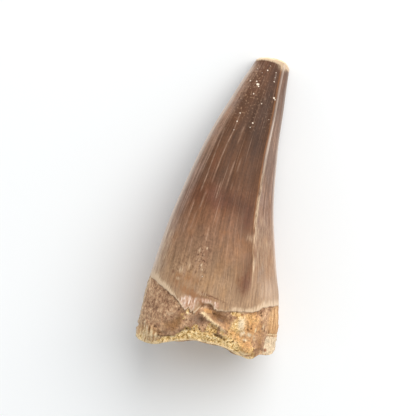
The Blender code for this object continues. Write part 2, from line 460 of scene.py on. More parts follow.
@dataclass
class Relief:
    """Raised and sunken places on the top face, and the grain of the skin, in millimetres."""

    flute_height: float = 0.05
    flutes: int = 9  # round the tooth
    fine_flutes: int = 17
    rough_top: float = 0.16  # broken dentine
    rough_under: float = 0.22
    forms: tuple[Spot, ...] = (
        Spot(6.3, 2.4, 1.0, 1.15, 0.55),  # rounded nodule of cemented sand on the rim
        Spot(8.3, 3.6, 0.7, 2.2, 0.2),  # its brown outer half
        Spot(4.7, 6.2, 0.9, 1.1, 0.4),  # crust of pale sand below the enamel
        Spot(6.3, 6.6, 1.1, 1.5, 0.3),  # crust of golden sand beside it
        Spot(1.2, 6.2, 1.3, 0.75, -0.6, -15),  # flaked hollow under the enamel
        Spot(-0.7, 7.6, 0.55, 0.5, -0.5),  # recess in the enamel edge
        Spot(-2.0, 7.6, 0.45, 0.4, -0.3),  # rusty pit beside it
        Spot(0.8, 5.3, 2.6, 0.35, 0.45, -22),  # ridge of dentine along the hollow
        Spot(-1.7, 5.4, 0.9, 0.6, -0.35),  # grey scar
        Spot(-8.9, 1.5, 0.5, 1.1, 0.2, 10),  # splintered dentine of the left lobe
        Spot(10.0, 3.9, 0.9, 1.3, -0.3),  # chip out of the right corner
        Spot(9.2, 2.5, 0.3, 0.4, -0.35),  # notch between chip and nodule
    )
    pits: tuple[Spot, ...] = (
        Spot(-3.5, 3.55, 0.25, 0.22, -0.35), Spot(1.3, 3.55, 0.4, 0.2, -0.5, -8),
        Spot(2.1, 3.3, 0.28, 0.24, -0.4), Spot(-7.4, 1.75, 0.2, 0.5, -0.35),
        Spot(-8.45, 2.7, 0.35, 0.16, -0.25, -35), Spot(7.5, 8.2, 0.3, 0.4, -0.35),
        Spot(6.45, 5.65, 0.2, 0.2, -0.2), Spot(5.85, 5.55, 0.22, 0.45, -0.22, 15),
        Spot(8.55, 5.6, 0.2, 0.5, -0.25), Spot(4.2, 2.6, 0.2, 0.6, -0.3, 12),
        Spot(-1.5, 3.85, 0.2, 0.2, -0.2), Spot(3.85, 4.5, 0.2, 0.2, -0.2),
        Spot(-2.45, 6.6, 0.12, 0.5, -0.3), Spot(-4.95, 7.3, 0.12, 0.4, -0.25),
    )
    dimples: tuple[Spot, ...] = (
        Spot(-1.0, 43.7, 0.35, 0.35, -0.12), Spot(-2.3, 44.0, 0.25, 0.25, -0.08),
        Spot(0.05, 46.3, 0.22, 0.22, -0.08), Spot(-1.35, 42.0, 0.25, 0.25, -0.1),
        Spot(0.3, 40.5, 0.3, 0.3, -0.12), Spot(-0.45, 37.3, 0.25, 0.25, -0.08),
        Spot(-2.9, 12.1, 0.25, 0.3, -0.1), Spot(-3.7, 14.6, 0.4, 0.7, -0.06),
    )


@dataclass
class Skin:
    """Every vertex of the loft, as arrays of rows by columns.

    form gives the smooth shape and relief its raised places. The row counts
    and the columns set how fine the mesh is.
    """

    form: ToothForm = field(default_factory=ToothForm)
    relief: Relief = field(default_factory=Relief)
    columns: int = 420
    hollow_rows: int = 22
    root_rows: int = 62
    crown_rows: int = 132
    tip_rows: int = 8

    def __post_init__(self) -> None:
        """Lays out the rows and works out every vertex."""
        self.turn = np.arange(self.columns) / self.columns
        self.rim = self.form.rim(self.turn)
        self.margin = self.form.margin(self.turn)
        self.zone: list[Zone] = []
        root = self.wall(self.root_heights(), Zone.ROOT)
        crown = self.wall(self.crown_heights(), Zone.CROWN)
        rows = [self.hollow(root[0]), root, crown, self.worn_tip(crown[-1])]
        for zone, block in zip(Zone, rows):
            self.zone += [zone] * len(block)
        self.points = np.concatenate(rows)

    def root_heights(self) -> Array:
        """Distance from the base of every root vertex, rows by columns, closer together at the rim."""
        share = (np.arange(self.root_rows + 1) / self.root_rows)[:, None] ** 1.1
        return self.rim + (self.margin - 0.05 - self.rim) * share

    def crown_heights(self) -> Array:
        """Where the crown's vertices lie, closer together at both ends.

        Returns:
            Distances from the base, rows by columns.
        """
        share = (np.arange(self.crown_rows + 1) / self.crown_rows)[:, None]
        share = share - 0.45 * np.sin(2 * math.pi * share) / (2 * math.pi)
        low = self.margin + 0.05
        x, z = self.form.section(self.turn, np.full_like(self.turn, 48.2))
        return low + (self.form.tip_face(x, z) - low) * share

    def wall(self, y: Array, zone: Zone) -> Array:
        """Vertices of the outer wall.

        Args:
            y: Distance from the base, rows by columns.
            zone: The crown or the root.

        Returns:
            Places in millimetres, rows by columns by 3.
        """
        turn = np.broadcast_to(self.turn, y.shape)
        nudge = 0.004
        x, z = self.form.section(turn, y)
        x1, z1 = self.form.section((turn + nudge) % 1.0, y)
        x0, z0 = self.form.section((turn - nudge) % 1.0, y)
        out_x, out_z = z1 - z0, x0 - x1
        size = np.hypot(out_x, out_z)
        out_x, out_z = out_x / size, out_z / size
        place = np.stack([x, y, z], -1)
        rise = self.rise(place, turn, zone)
        if zone is Zone.ROOT:
            rise = rise - self.form.enamel_step * (0.15 + 0.85 * np.abs(out_z))
        z = z + out_z * rise
        if zone is Zone.ROOT:
            near = 1 - ease(0.0, 2.2, y - self.rim)
            half = self.form.half_height
            z = z - self.form.wall_dip * near * near * (z - half) / half
        return np.stack([x + out_x * rise, y, z], -1)

    def rise(self, place: Array, turn: Array, zone: Zone) -> Array:
        """How far the surface stands out from the smooth section.

        Args:
            place: Smooth places, rows by columns by 3.
            turn: Their places round the section.
            zone: The crown or the root.

        Returns:
            Heights in millimetres.
        """
        relief, x, y = self.relief, place[..., 0], place[..., 1]
        top = self.form.on_top(turn)
        out = np.zeros_like(x)
        for spot in relief.forms + relief.pits + relief.dimples:
            out += spot.reach(x, y) * top
        grown = self.form.carina_height * ease(11.0, 17.0, y)
        shown, hidden = np.minimum(turn, 1 - turn), np.abs(turn - self.form.hidden_edge)
        for share, gap in ((1.0, shown), (0.8, hidden)):
            out += share * grown * np.exp(-gap * self.form.around(y) / self.form.carina_width)
        if zone is Zone.CROWN:
            waves = np.sin(turn * math.tau * relief.flutes + 1.0)
            waves = waves + 0.5 * np.sin(turn * math.tau * relief.fine_flutes)
            return out + relief.flute_height * waves * plateau(12, 24, 38, 46, y)
        rough = np.where(top, relief.rough_top, relief.rough_under)
        key = np.stack([x * 0.9, y * 0.9, turn * 9], -1)
        sand = 1 - ease(2.5, 6.0, y - read_line(self.form.rim_line, x))
        return out + rough * fractal(key, 3, 0.8, 2.1) * (0.5 + sand)

    def hollow(self, rim: Array) -> Array:
        """Rows across the broken base, from its middle outwards.

        Args:
            rim: The rim, columns by 3.

        Returns:
            Places in millimetres, rows by columns by 3.
        """
        middle = rim.mean(0)
        share = (np.arange(1, self.hollow_rows) / self.hollow_rows)[:, None, None]
        place = middle + (rim - middle) * share
        share = share[..., 0]
        key = np.stack([place[..., 0], place[..., 2], np.full(place.shape[:2], 15.625)], -1) * 0.32
        lumps = 0.6 * fractal(key, 2, 0.8, 2.1) * (1 - share**6)
        dish = self.form.hollow_depth * (1 - ease(0.3, 0.92, share))
        place[..., 1] = middle[1] + (rim[:, 1] - middle[1]) * share**4 + dish + lumps
        return place

    def worn_tip(self, edge: Array) -> Array:
        """Rows across the worn tip, from its edge inwards.

        Args:
            edge: The tip's edge, columns by 3.

        Returns:
            Places in millimetres, rows by columns by 3.
        """
        middle = edge.mean(0)
        share = (1 - np.arange(1, self.tip_rows) / self.tip_rows)[:, None, None]
        place = middle + (edge - middle) * share
        bulge = self.form.tip_bulge * (1 - share[..., 0] ** 2)
        place[..., 1] = self.form.tip_face(place[..., 0], place[..., 2]) + bulge
        return place

    def lay_rounds(self, spots: tuple[Triple, ...]) -> Rounds:
        """Lays round spots on the top face.

        Args:
            spots: x, y and radius of each.

        Returns:
            Centre from the object's origin and radius of each, in millimetres.
        """
        place = self.resting()[:, self.form.on_top(self.turn)] / MM
        found = []
        for x, y, radius in spots:
            across, along = x - self.form.centre_x, y - self.form.centre_y
            gap = np.hypot(place[..., 0] - across, place[..., 1] - along)
            nearest = np.argmin(gap - 0.02 * place[..., 2])  # of two close ones, the upper
            found.append(((across, along, float(place[..., 2].flat[nearest])), radius))
        return tuple(found)

    def resting(self) -> Array:
        """Vertices of the resting object, its underside worn flat.

        Returns:
            Places in metres, rows by columns by 3.
        """
        shift = np.array([self.form.centre_x, self.form.centre_y, self.form.foot_sink])
        place = self.points - shift
        place[..., 2] = np.maximum(place[..., 2], 0.0)
        return place * MM


def loft(rows: int, columns: int) -> bmesh.types.BMesh:
    """A closed tube of rings, extruded one from the other and fanned shut at both ends.

    Args:
        rows: Number of rings.
        columns: Vertices in each ring.

    Returns:
        The mesh, with row and column kept on every vertex. Each ring still
        lies on the one it came from.
    """
    bm = bmesh.new()
    bmesh.ops.create_circle(bm, cap_ends=True, cap_tris=True, segments=columns, radius=1.0)
    row, column = bm.verts.layers.int.new("row"), bm.verts.layers.int.new("column")
    edges = [edge for edge in bm.edges if edge.is_boundary]
    loop = {vert for edge in edges for vert in edge.verts}
    for vert in bm.verts:
        vert[row] = FIRST_HUB
    ordered = sorted(loop, key=lambda v: math.atan2(v.co.y, v.co.x))
    for number, vert in enumerate(ordered):
        vert[row], vert[column] = 0, number
    for ring in range(1, rows):
        made = bmesh.ops.extrude_edge_only(bm, edges=edges)["geom"]
        edges = [item for item in made if isinstance(item, bmesh.types.BMEdge) and item.is_boundary]
        for item in made:
            if isinstance(item, bmesh.types.BMVert):
                item[row] = ring
    cap = bmesh.ops.contextual_create(bm, geom=edges)["faces"]
    hub = bmesh.ops.poke(bm, faces=cap)["verts"]
    hub[0][row] = LAST_HUB
    return bm


def keep(name: str, bm: bmesh.types.BMesh) -> bpy.types.Object:
    """Turns a finished mesh into an object of the scene.

    Args:
        name: Name of both.
        bm: The mesh, which is freed.

    Returns:
        The object.
    """
    mesh = bpy.data.meshes.new(name)
    bm.to_mesh(mesh)
    bm.free()
    made = bpy.data.objects.new(name, mesh)
    bpy.context.scene.collection.objects.link(made)
    return made


class Stretch:
    """The rows of one zone of the skin, with the marks on them."""

    def __init__(self, skin: Skin, marks: dict[Mark, Array], kind: Zone) -> None:
        """Picks the zone's rows.

        Args:
            skin: The whole skin.
            marks: Strengths over the whole skin, by mark.
            kind: The zone.
        """
        self.rows = np.array([zone is kind for zone in skin.zone])
        self.marks = marks
        self.form, self.turn = skin.form, skin.turn
        self.place = skin.points[self.rows]
        self.x, self.y = self.place[..., 0], self.place[..., 1]
        self.hidden = skin.form.hidden(skin.turn)

    def add(self, mark: Mark, amount: Array) -> None:
        """Strengthens a mark by an amount, rows by columns."""
        self.marks[mark][self.rows] += amount


@dataclass
class PatinaAndLight:
    """Stains, worn places, cemented sand, painted shade and painted highlights, in millimetres on the
    top face.

    crown and root give the places of each mark, specks the round pale pits
    on the enamel and pits the dark ones in the root.
    """

    crown: dict[Mark, Places] = field(default_factory=lambda: {
        Mark.DARK: (
            Spot(2.0, 21.9, 1.3, 2.4, 0.4),
            Spot(0.9, 36.0, 1.8, 5.6, 0.78),  # painted shade: the right half of the face darker beside the cutting edge
            Spot(1.2, 43.8, 0.8, 4.0, 0.85), Spot(-2.9, 33.2, 0.5, 2.4, 0.45, 8),
            Spot(-0.6, 38.5, 1.1, 2.5, 0.35, 5),
            Spot(-0.6, 24.2, 3.2, 1.3, 0.5),  # dark growth band
        ),
        Mark.ROSE: (
            Spot(3.6, 13.9, 1.45, 3.8, 0.55, -4),  # red-brown patch beside the end of the cutting edge
            Spot(2.0, 21.9, 1.1, 2.4, 0.6),
            Spot(-3.6, 24.4, 4.2, 1.7, 0.7, -5),  # reddish growth band across the middle
            Spot(-4.6, 28.5, 1.0, 4.0, 0.45, 8), Spot(-2.2, 9.4, 0.2, 0.5, 0.8),
            Spot(-3.6, 8.0, 1.5, 1.3, 0.45), Spot(-1.4, 8.7, 1.5, 0.6, 0.5),
            Spot(-3.0, 15.5, 1.0, 3.4, 0.34), Spot(-7.45, 11.8, 0.3, 0.35, 0.7),
            Hairline(-4.3, 9.6, -2.2, 9.5, 0.1, 0.7),  # crack above the flaked edge
            Hairline(-2.3, 9.5, -0.9, 9.3, 0.1, 0.8), Hairline(-1.1, 9.35, 0.5, 9.05, 0.1, 0.75),
            Hairline(0.4, 9.1, 2.2, 8.6, 0.1, 0.55), Spot(4.0, 11.5, 1.4, 1.7, 0.28),
        ),
        Mark.CREAM: (
            Spot(2.45, 47.9, 0.85, 1.0, 1.3),  # worn through where the cutting edge meets the tip
            Spot(3.6, 8.3, 1.2, 0.3, 0.5, 8), Spot(3.1, 19.5, 0.8, 0.7, 0.4),
            Spot(-2.4, 9.4, 1.2, 0.35, 0.4), Spot(-3.5, 13.7, 0.3, 0.2, 0.8, 20),
            Spot(-4.15, 15.9, 0.16, 0.25, 0.8), Spot(-2.8, 12.0, 0.16, 0.22, 1.0),
            Spot(-3.05, 16.4, 0.18, 0.22, 0.9), Spot(-3.35, 15.2, 0.14, 0.28, 0.9),
            Spot(-3.9, 14.6, 0.14, 0.22, 0.8), Spot(-3.2, 13.1, 0.16, 0.22, 0.8),
            Spot(-6.3, 12.2, 0.4, 0.8, 0.5), Spot(-5.3, 13.4, 0.3, 0.9, 0.45),
            Spot(-6.5, 10.9, 0.35, 0.25, 0.6),
        ),
        Mark.LINED: (
            *crack((-2.7, 38.5), (-3.15, 35.5, 0.07, 0.8), (-3.7, 33.2, 0.08, 1),
                   (-4.1, 31.0, 0.08, 0.95), (-4.45, 28.6, 0.09, 0.9), (-4.7, 26.6, 0.09, 0.5)),
            Hairline(-1.55, 36.8, -1.95, 35.2, 0.11, 0.55), Hairline(-1.9, 35.3, -2.05, 33.6, 0.09, 0.6),
            *crack((-5.5, 33.6), (-5.9, 31.4, 0.09, 0.55), (-6.35, 29.3, 0.08, 0.8),
                   (-6.6, 27.8, 0.09, 0.5)),
            *crack((-4.6, 35.8), (-5.2, 31.6, 0.1, 0.5), (-5.65, 28.2, 0.08, 0.75)),
            *crack((-5.6, 28.2), (-5.9, 26.3, 0.08, 1.2), (-6.1, 24.9, 0.09, 0.7)),
            Hairline(-1.0, 31.4, -1.25, 29.1, 0.1, 0.5),
            *crack((-1.9, 30.8), (-2.2, 28.4, 0.08, 0.65), (-2.4, 26.1, 0.08, 0.95)),
            Hairline(-1.5, 27.2, -1.55, 26.3, 0.1, 0.5),
            *crack((-3.2, 27.3), (-3.45, 25.6, 0.07, 0.8), (-3.5, 24.2, 0.08, 0.9)),
            Hairline(-5.2, 25.2, -5.7, 22.2, 0.11, 0.65),
            *crack((-6.75, 23.3), (-7.05, 20.6, 0.09, 0.9), (-7.35, 18.0, 0.1, 0.7)),
            Hairline(-6.05, 21.7, -6.35, 18.8, 0.11, 0.5), Hairline(-5.7, 17.6, -5.75, 14.9, 0.1, 0.65),
            Hairline(-3.55, 19.7, -3.55, 17.3, 0.1, 0.75), Hairline(-5.7, 12.9, -5.8, 10.9, 0.15, 0.7),
            Hairline(-4.4, 11.3, -4.5, 10.4, 0.14, 0.6), Hairline(5.75, 13.6, 5.85, 12.8, 0.11, 0.9),
            Hairline(0.6, 41.9, 0.65, 41.3, 0.09, 0.7),
        ),
        Mark.AMBER: (
            Spot(-6.5, 11.5, 0.45, 0.4, 0.8),
            Spot(1.9, 18.6, 1.0, 0.5, 0.5, -10),  # faint growth line
            Spot(-0.9, 19.5, 1.1, 0.4, 0.5, 10), Spot(-4.6, 11.2, 1.8, 0.9, 0.5),
            Spot(-4.4, 9.3, 2.3, 0.7, 0.8, -12),  # rusty enamel above the flaked edge
            Spot(-7.2, 10.7, 1.0, 0.6, 0.4, -20), Spot(5.6, 19.6, 0.5, 1.0, 0.5),
            Spot(-3.8, 8.9, 0.9, 0.25, 0.6),
            Spot(-1.75, 7.75, 0.42, 0.5, 1.3),  # rusty pit beside the recess
        ),
        Mark.CHALK_AND_HIGHLIGHT: (
            Spot(7.8, 12.0, 3.2, 3.2, 0.36),  # weathered enamel over the right corner
        ),
        Mark.FIBRE: (
            Spot(-4.3, 7.35, 1.6, 1.45, 1.0),  # whitened fibres of the flaked edge
            Spot(-1.4, 8.4, 1.4, 0.55, 0.8), Spot(0.3, 7.9, 0.45, 0.75, 0.9),
        ),
        Mark.GREY: (
            Spot(1.5, 45.5, 0.16, 1.1, 0.75), Spot(4.7, 16.5, 0.5, 1.8, 0.4),
            Spot(6.0, 14.6, 0.6, 2.3, 0.55, -4),
            Hairline(3.4, 44.6, 3.95, 37.6, 0.14, 0.75),  # dark lines on the face beyond the edge
            Hairline(3.0, 43.2, 3.4, 38.6, 0.1, 0.6),
        ),
        Mark.PITTED: (
            Spot(-3.6, 14.8, 1.1, 2.9, 1.5), Spot(-1.4, 43.6, 1.6, 4.2, 1.4),
            Spot(-3.4, 40.5, 1.2, 3.0, 0.9, 15), Spot(1.6, 39.5, 0.6, 3.0, 0.8),
            Spot(-6.6, 12.9, 1.5, 1.7, 0.7), Spot(-0.3, 37.5, 0.9, 1.6, 0.6),
        ),
    })
    root: dict[Mark, Places] = field(default_factory=lambda: {
        Mark.SAND: (
            Spot(4.6, 5.3, 1.4, 2.2, 0.85), Spot(4.2, 3.4, 1.6, 1.2, 1.0),
            Spot(-3.9, 6.1, 0.3, 0.6, 0.6, -10), Spot(-4.6, 5.6, 0.35, 0.5, 0.62, -30),
            Spot(-4.25, 4.95, 0.3, 0.35, 0.65), Spot(-5.0, 6.1, 0.25, 0.3, 0.5),
            Spot(6.4, 7.2, 1.0, 1.0, 0.75), Spot(3.3, 7.4, 1.2, 0.4, 0.6),
        ),
        Mark.CHALK_AND_HIGHLIGHT: (
            Spot(4.75, 6.1, 0.6, 1.05, 1.15, 8),  # whitish crust
            Spot(6.3, 4.65, 0.42, 0.34, 0.9, -20), Spot(5.25, 4.7, 0.3, 0.5, 0.75, -30),
            Spot(5.9, 3.75, 0.5, 0.2, 0.7), Spot(7.2, 4.4, 0.25, 0.6, 0.5, 10),
            Spot(8.3, 6.3, 0.2, 0.6, 0.5),
            Hairline(-9.6, 2.6, -9.3, 1.0, 0.17, 0.9),  # splinters of dentine at the left corner
            Hairline(-8.8, 2.2, -8.4, 0.8, 0.17, 1.0), Hairline(-8.1, 1.9, -7.7, 1.0, 0.15, 0.8),
            Hairline(-10.1, 3.4, -9.95, 1.9, 0.13, 0.7),
            Block(9.05, 2.0, 11.4, 5.0, 0.15, 0.75),  # pale chip at the right corner
        ),
        Mark.CREAM: (
            Hairline(-1.4, 6.3, -0.1, 5.65, 0.36, 0.75),  # pale ridge of dentine under the hollow
            Hairline(-0.2, 5.7, 1.4, 4.95, 0.34, 0.7), Hairline(1.3, 5.0, 2.9, 4.15, 0.3, 0.6),
            Hairline(8.95, 5.25, 11.2, 5.4, 0.1, 1.1), Hairline(7.15, 6.1, 7.2, 5.1, 0.14, 0.8),
            Spot(-8.9, 1.1, 1.9, 1.0, 0.8, 12), Spot(-10.4, 3.0, 0.7, 1.5, 0.4),
            Spot(6.3, 1.55, 1.0, 0.4, 0.8, 5), Spot(6.2, 2.4, 0.6, 0.6, 0.35),
            Spot(-1.35, 6.5, 0.4, 0.25, 0.9),
        ),
        Mark.DARK: (
            Spot(1.7, 3.45, 0.8, 0.26, 0.5, -12), Spot(-3.2, 3.5, 1.4, 0.3, 0.45, 15),
            Spot(-6.6, 2.4, 1.6, 0.4, 0.4, 25),
            Hairline(-9.2, 2.7, -8.9, 1.3, 0.13, 0.9),  # gaps between the splinters
            Hairline(-7.8, 2.6, -7.3, 1.1, 0.13, 0.9), Hairline(-10.0, 2.1, -9.7, 0.7, 0.12, 0.8),
            Hairline(-8.0, 1.2, -5.5, 2.0, 0.16, 0.7),
            Spot(0.9, 6.7, 1.0, 0.5, 0.42, -12),  # painted shade in the hollow under the enamel and in the recess beside it
            Spot(2.1, 6.2, 0.5, 0.6, 0.3), Spot(-0.65, 7.8, 0.4, 0.35, 0.3),
            Spot(-1.65, 5.55, 0.6, 0.4, 0.5), Spot(-4.9, 4.9, 0.5, 1.4, 0.45, -20),
        ),
        Mark.GREY: (
            Spot(-2.1, 5.2, 1.3, 0.7, 0.85), Spot(-6.2, 4.9, 1.6, 1.8, 0.36, -30),
            Spot(1.4, 5.95, 0.7, 0.4, 0.8, -15), Spot(5.9, 4.3, 1.1, 0.5, 0.55, -25),
        ),
        Mark.ROSE: (
            Spot(-1.95, 7.75, 0.35, 0.25, 1.1), Spot(4.55, 7.5, 0.3, 0.2, 0.9),
            Spot(9.4, 2.75, 0.25, 0.28, 1.2), Hairline(-9.7, 0.8, -7.9, 1.05, 0.1, 0.6),
            # Rusty seam round the nodule
            *crack((5.2, 1.6), (6.2, 1.2, 0.14, 0.7), (7.4, 1.6, 0.14, 0.8), (7.6, 3.2, 0.12, 0.7)),
        ),
        Mark.FIBRE: (
            Spot(10.0, 7.6, 1.3, 2.9, 1.3), Spot(-9.2, 1.2, 2.4, 1.6, 1.1),
        ),
        Mark.AMBER: (
            Spot(6.3, 2.35, 0.9, 1.0, 0.9),  # the nodule
            Spot(6.3, 6.2, 1.5, 2.5, 1.15), Spot(5.2, 3.8, 1.4, 0.9, 0.7), Spot(3.6, 4.4, 0.9, 0.6, 0.4),
            Spot(0.2, 3.9, 3.4, 0.6, 0.42), Spot(-9.0, 1.2, 1.7, 0.9, 0.25, 12),
            Spot(2.6, 5.5, 0.7, 0.9, 0.45), Spot(1.2, 5.7, 1.6, 0.8, 0.2, -15),
            Spot(-0.6, 6.9, 1.1, 0.5, 0.5), Spot(-1.0, 7.0, 0.7, 0.3, 0.7),
            Spot(3.7, 7.3, 0.5, 0.4, 0.6),
        ),
        Mark.PITTED: (
            Spot(-6.3, 3.5, 2.0, 0.9, 0.6, 20), Spot(0.7, 4.6, 1.2, 0.4, 0.75, -22),
            Spot(0.9, 6.4, 1.6, 1.0, 0.75, -15),  # brown dentine in the hollow
            Spot(8.2, 3.8, 0.55, 2.4, 0.75),  # brown column beside the nodule
            Spot(7.3, 1.6, 0.7, 0.5, 0.7, 20), Spot(-5.0, 4.6, 0.6, 1.8, 0.8, -15),
            Spot(3.5, 4.6, 0.7, 0.6, 0.55), Spot(3.5, 6.4, 0.6, 1.2, 0.45),
            Spot(5.8, 5.25, 0.36, 0.28, 0.75), Spot(5.35, 3.9, 0.3, 0.22, 0.7),
            Spot(6.6, 5.6, 0.3, 0.4, 0.6), Spot(7.8, 6.6, 0.6, 0.9, 0.5),
        ),
    })
    specks: tuple[Triple, ...] = (
        (-1.02, 43.7, 0.27), (-1.3, 44.15, 0.14), (-0.85, 43.4, 0.15), (-2.3, 44.0, 0.15),
        (0.03, 46.3, 0.13), (0.3, 47.1, 0.09), (-1.35, 42.05, 0.13), (-0.45, 37.35, 0.14),
        (-2.75, 38.5, 0.12), (-2.95, 37.1, 0.13), (-3.12, 35.6, 0.1), (2.0, 42.1, 0.2),
        (2.2, 41.85, 0.12), (1.45, 44.7, 0.12), (1.45, 45.4, 0.08), (1.45, 46.2, 0.09),
        (-1.65, 46.2, 0.09), (-0.75, 45.7, 0.08), (0.25, 40.75, 0.1), (1.9, 38.5, 0.1),
        (-0.7, 36.6, 0.08), (-2.85, 12.0, 0.1),
    )
    pits: tuple[Triple, ...] = (
        (-3.5, 3.55, 0.15), (1.15, 3.6, 0.15), (1.45, 3.48, 0.14), (2.15, 3.3, 0.12), (0.85, 3.8, 0.07),
        (1.8, 3.62, 0.08), (2.55, 3.15, 0.08), (2.9, 3.35, 0.06), (-0.6, 4.1, 0.07), (0.3, 4.2, 0.06),
        (-2.3, 3.9, 0.08), (-2.9, 3.1, 0.07), (3.3, 2.9, 0.08), (-4.3, 2.9, 0.07), (3.7, 3.6, 0.07),
        (-7.4, 1.95, 0.11), (-7.5, 1.55, 0.14), (-8.4, 2.75, 0.12), (7.4, 8.35, 0.14), (7.55, 8.0, 0.14),
        (-3.75, 4.9, 0.11), (-1.45, 3.9, 0.1), (4.1, 3.2, 0.11), (6.45, 5.7, 0.1), (8.6, 5.75, 0.11),
        (-1.1, 4.6, 0.11), (0.2, 6.75, 0.15), (5.95, 5.4, 0.11), (-5.45, 3.1, 0.09), (-0.1, 3.8, 0.09),
    )

    def spread(self, skin: Skin) -> dict[Mark, Array]:
        """Works out every mark on every vertex.

        Args:
            skin: The skin to mark.

        Returns:
            Strengths, rows by columns, by mark.
        """
        marks = {mark: np.zeros(skin.points.shape[:2]) for mark in Mark}
        left, right = skin.form.left, skin.form.right
        past_left = ease(left - 0.01, left + 0.03, skin.turn)
        top = 1 - past_left * (1 - ease(right - 0.03, right + 0.01, skin.turn))
        crown, root = Stretch(skin, marks, Zone.CROWN), Stretch(skin, marks, Zone.ROOT)
        for part, spots in ((root, self.root), (crown, self.crown)):
            for mark, places in spots.items():
                part.add(mark, sum(place.reach(part.x, part.y) for place in places) * top)
        self.crust(root, root.y - skin.rim)
        self.broken_wall(root, root.y - skin.rim)
        self.cutting_edges(crown)
        self.flanks(crown)
        self.broken_margin(crown, crown.y - skin.margin)
        self.sandy_hollow(Stretch(skin, marks, Zone.HOLLOW))
        return marks

    @staticmethod
    def sandy_hollow(part: Stretch) -> None:
        """Fills the hollow with sand, with a wall of bare dentine round it.

        Args:
            part: The hollow.
        """
        rings = len(part.place)
        out = (np.arange(1, rings + 1) / (rings + 1))[:, None]
        worn = fractal(part.place / 4.5 + 8.8, 3)
        part.add(Mark.SAND, 1 - 0.9 * ease(0.62, 0.82, out + 0.25 * worn))
        part.add(Mark.PITTED, 0.8 * ease(0.1, 0.5, worn))

    @staticmethod
    def crust(part: Stretch, up: Array) -> None:
        """Adds the sand along the broken rim and in patches on the hidden side.

        Args:
            part: The root.
            up: Distances from the rim.
        """
        x = part.x
        thick = 0.65 + 1.6 * ease(-6.4, -2.4, x) + 0.2 * np.sin(x * 1.7)
        thick = thick * (1 + 0.6 * fractal(part.place / 1.5 + 2.2, 3))
        band = 1.25 * (1 - ease(0.5, 1.4, up / thick))
        band = band * (1 - 0.75 * ease(7.0, 8.2, x)) * (1 - 0.4 * ease(8.0, 9.5, -x))
        part.add(Mark.SAND, band + ease(-0.05, 0.35, fractal(part.place / 4.0 + 11.3, 3)) * part.hidden)
        part.add(Mark.DARK, 0.42 * bell((up / thick - 0.95) / 0.3) * plateau(-7.0, -5.0, 3.0, 4.5, x))
        part.add(Mark.FIBRE, ease(0.0, 0.4, fractal(part.place / 5.0 + 4.1, 2)) * part.hidden)

    @staticmethod
    def broken_wall(part: Stretch, up: Array) -> None:
        """Adds the pale broken edge of the wall, along the rim and up the left edge.

        Args:
            part: The root.
            up: Distances from the rim.
        """
        form = part.form
        part.add(Mark.CREAM, 0.9 * bell(up / 0.36) * (1 - 0.6 * ease(7.0, 8.0, part.x)))
        inwards = part.x - read_line(form.left_edge, part.y)
        past = ease(form.left - 0.025, form.left + 0.01, part.turn)
        part.add(Mark.CHALK_AND_HIGHLIGHT, 0.7 * bell(inwards / 0.35) * (part.turn > form.crest) * (1 - past))

    @staticmethod
    def cutting_edges(part: Stretch) -> None:
        """Adds a rusty seam along both cutting edges and a pale line beside it, a painted highlight
        along the ridge, creamier towards the base.

        Args:
            part: The crown.
        """
        y, around = part.y, part.form.around(part.y)
        grown = plateau(9.8, 12.6, 47.6, 48.4, y)
        high, cool = ease(19.0, 24.0, y), ease(24.0, 38.0, y)
        wide = 0.3 - 0.08 * ease(30.0, 40.0, y)
        shown = np.where(part.turn < 0.5, part.turn, part.turn - 1)
        for turn in (shown, part.turn - part.form.hidden_edge):
            gap = turn * around
            part.add(Mark.AMBER, 0.9 * grown * bell((gap - 0.3 * high) / 0.16))
            # Painted highlight: the pale line along the ridge, white high up and cream lower down.
            line = (0.6 + 0.25 * high) * grown * bell((gap + 0.08) / wide)
            part.add(Mark.CHALK_AND_HIGHLIGHT, line * cool * (1 - 0.35 * ease(34.0, 40.0, y)))
            part.add(Mark.CREAM, 0.8 * line * (1 - cool))

    @staticmethod
    def flanks(part: Stretch) -> None:
        """Pales and greys the strip beyond the cutting edge, partly its own enamel and partly painted
        light where it faces the lamp, and paints pale reflections along both outlines, the left one past
        the crest.

        Args:
            part: The crown.
        """
        form, turn, x, y = part.form, part.turn, part.x, part.y
        beyond_edge = np.where(turn < 0.5, -turn, 1 - turn) * form.around(y)
        # The strip's paler grey, creamier low down, is partly its own enamel and partly painted light
        # from the lamp on that side.
        strip = ease(0.2, 0.6, beyond_edge) * (turn > form.right - 0.06)
        across = np.clip(beyond_edge / (0.17 * form.around(y)), 0, 1)
        dull_and_lit = (0.72 - 0.2 * across) * (1 - 0.5 * ease(37.0, 44.0, y))
        part.add(Mark.FLANK_SHEEN, strip * ease(16.0, 25.0, y) * dull_and_lit)
        part.add(Mark.CREAM, 0.28 * strip * plateau(12.0, 17.0, 21.0, 26.0, y))
        # Painted reflection: a pale line along the right outline.
        outline = bell((read_line(form.right_edge, y) - x) / 0.3)
        fading = ease(12.0, 16.0, y) * (1 - 0.5 * ease(33.0, 38.0, y))
        part.add(Mark.CHALK_AND_HIGHLIGHT, 0.7 * strip * fading * outline)
        inwards = x - read_line(form.left_edge, y)
        past_crest = (turn > form.crest) * (1 - ease(form.left - 0.02, form.left + 0.015, turn))
        upper = past_crest * plateau(8.0, 13.0, 45.5, 48.5, y)
        # Painted reflection: a pale band and a paler line along the left outline.
        part.add(Mark.FLANK_SHEEN, 0.9 * upper * bell(inwards / 1.7, 4))
        part.add(Mark.CHALK_AND_HIGHLIGHT, 0.95 * upper * bell(inwards / 0.5))
        part.add(Mark.CREAM, 0.5 * past_crest * (1 - ease(15.0, 24.0, y)) * bell(inwards / 1.9))
        part.add(Mark.PITTED, 0.5 * part.hidden)

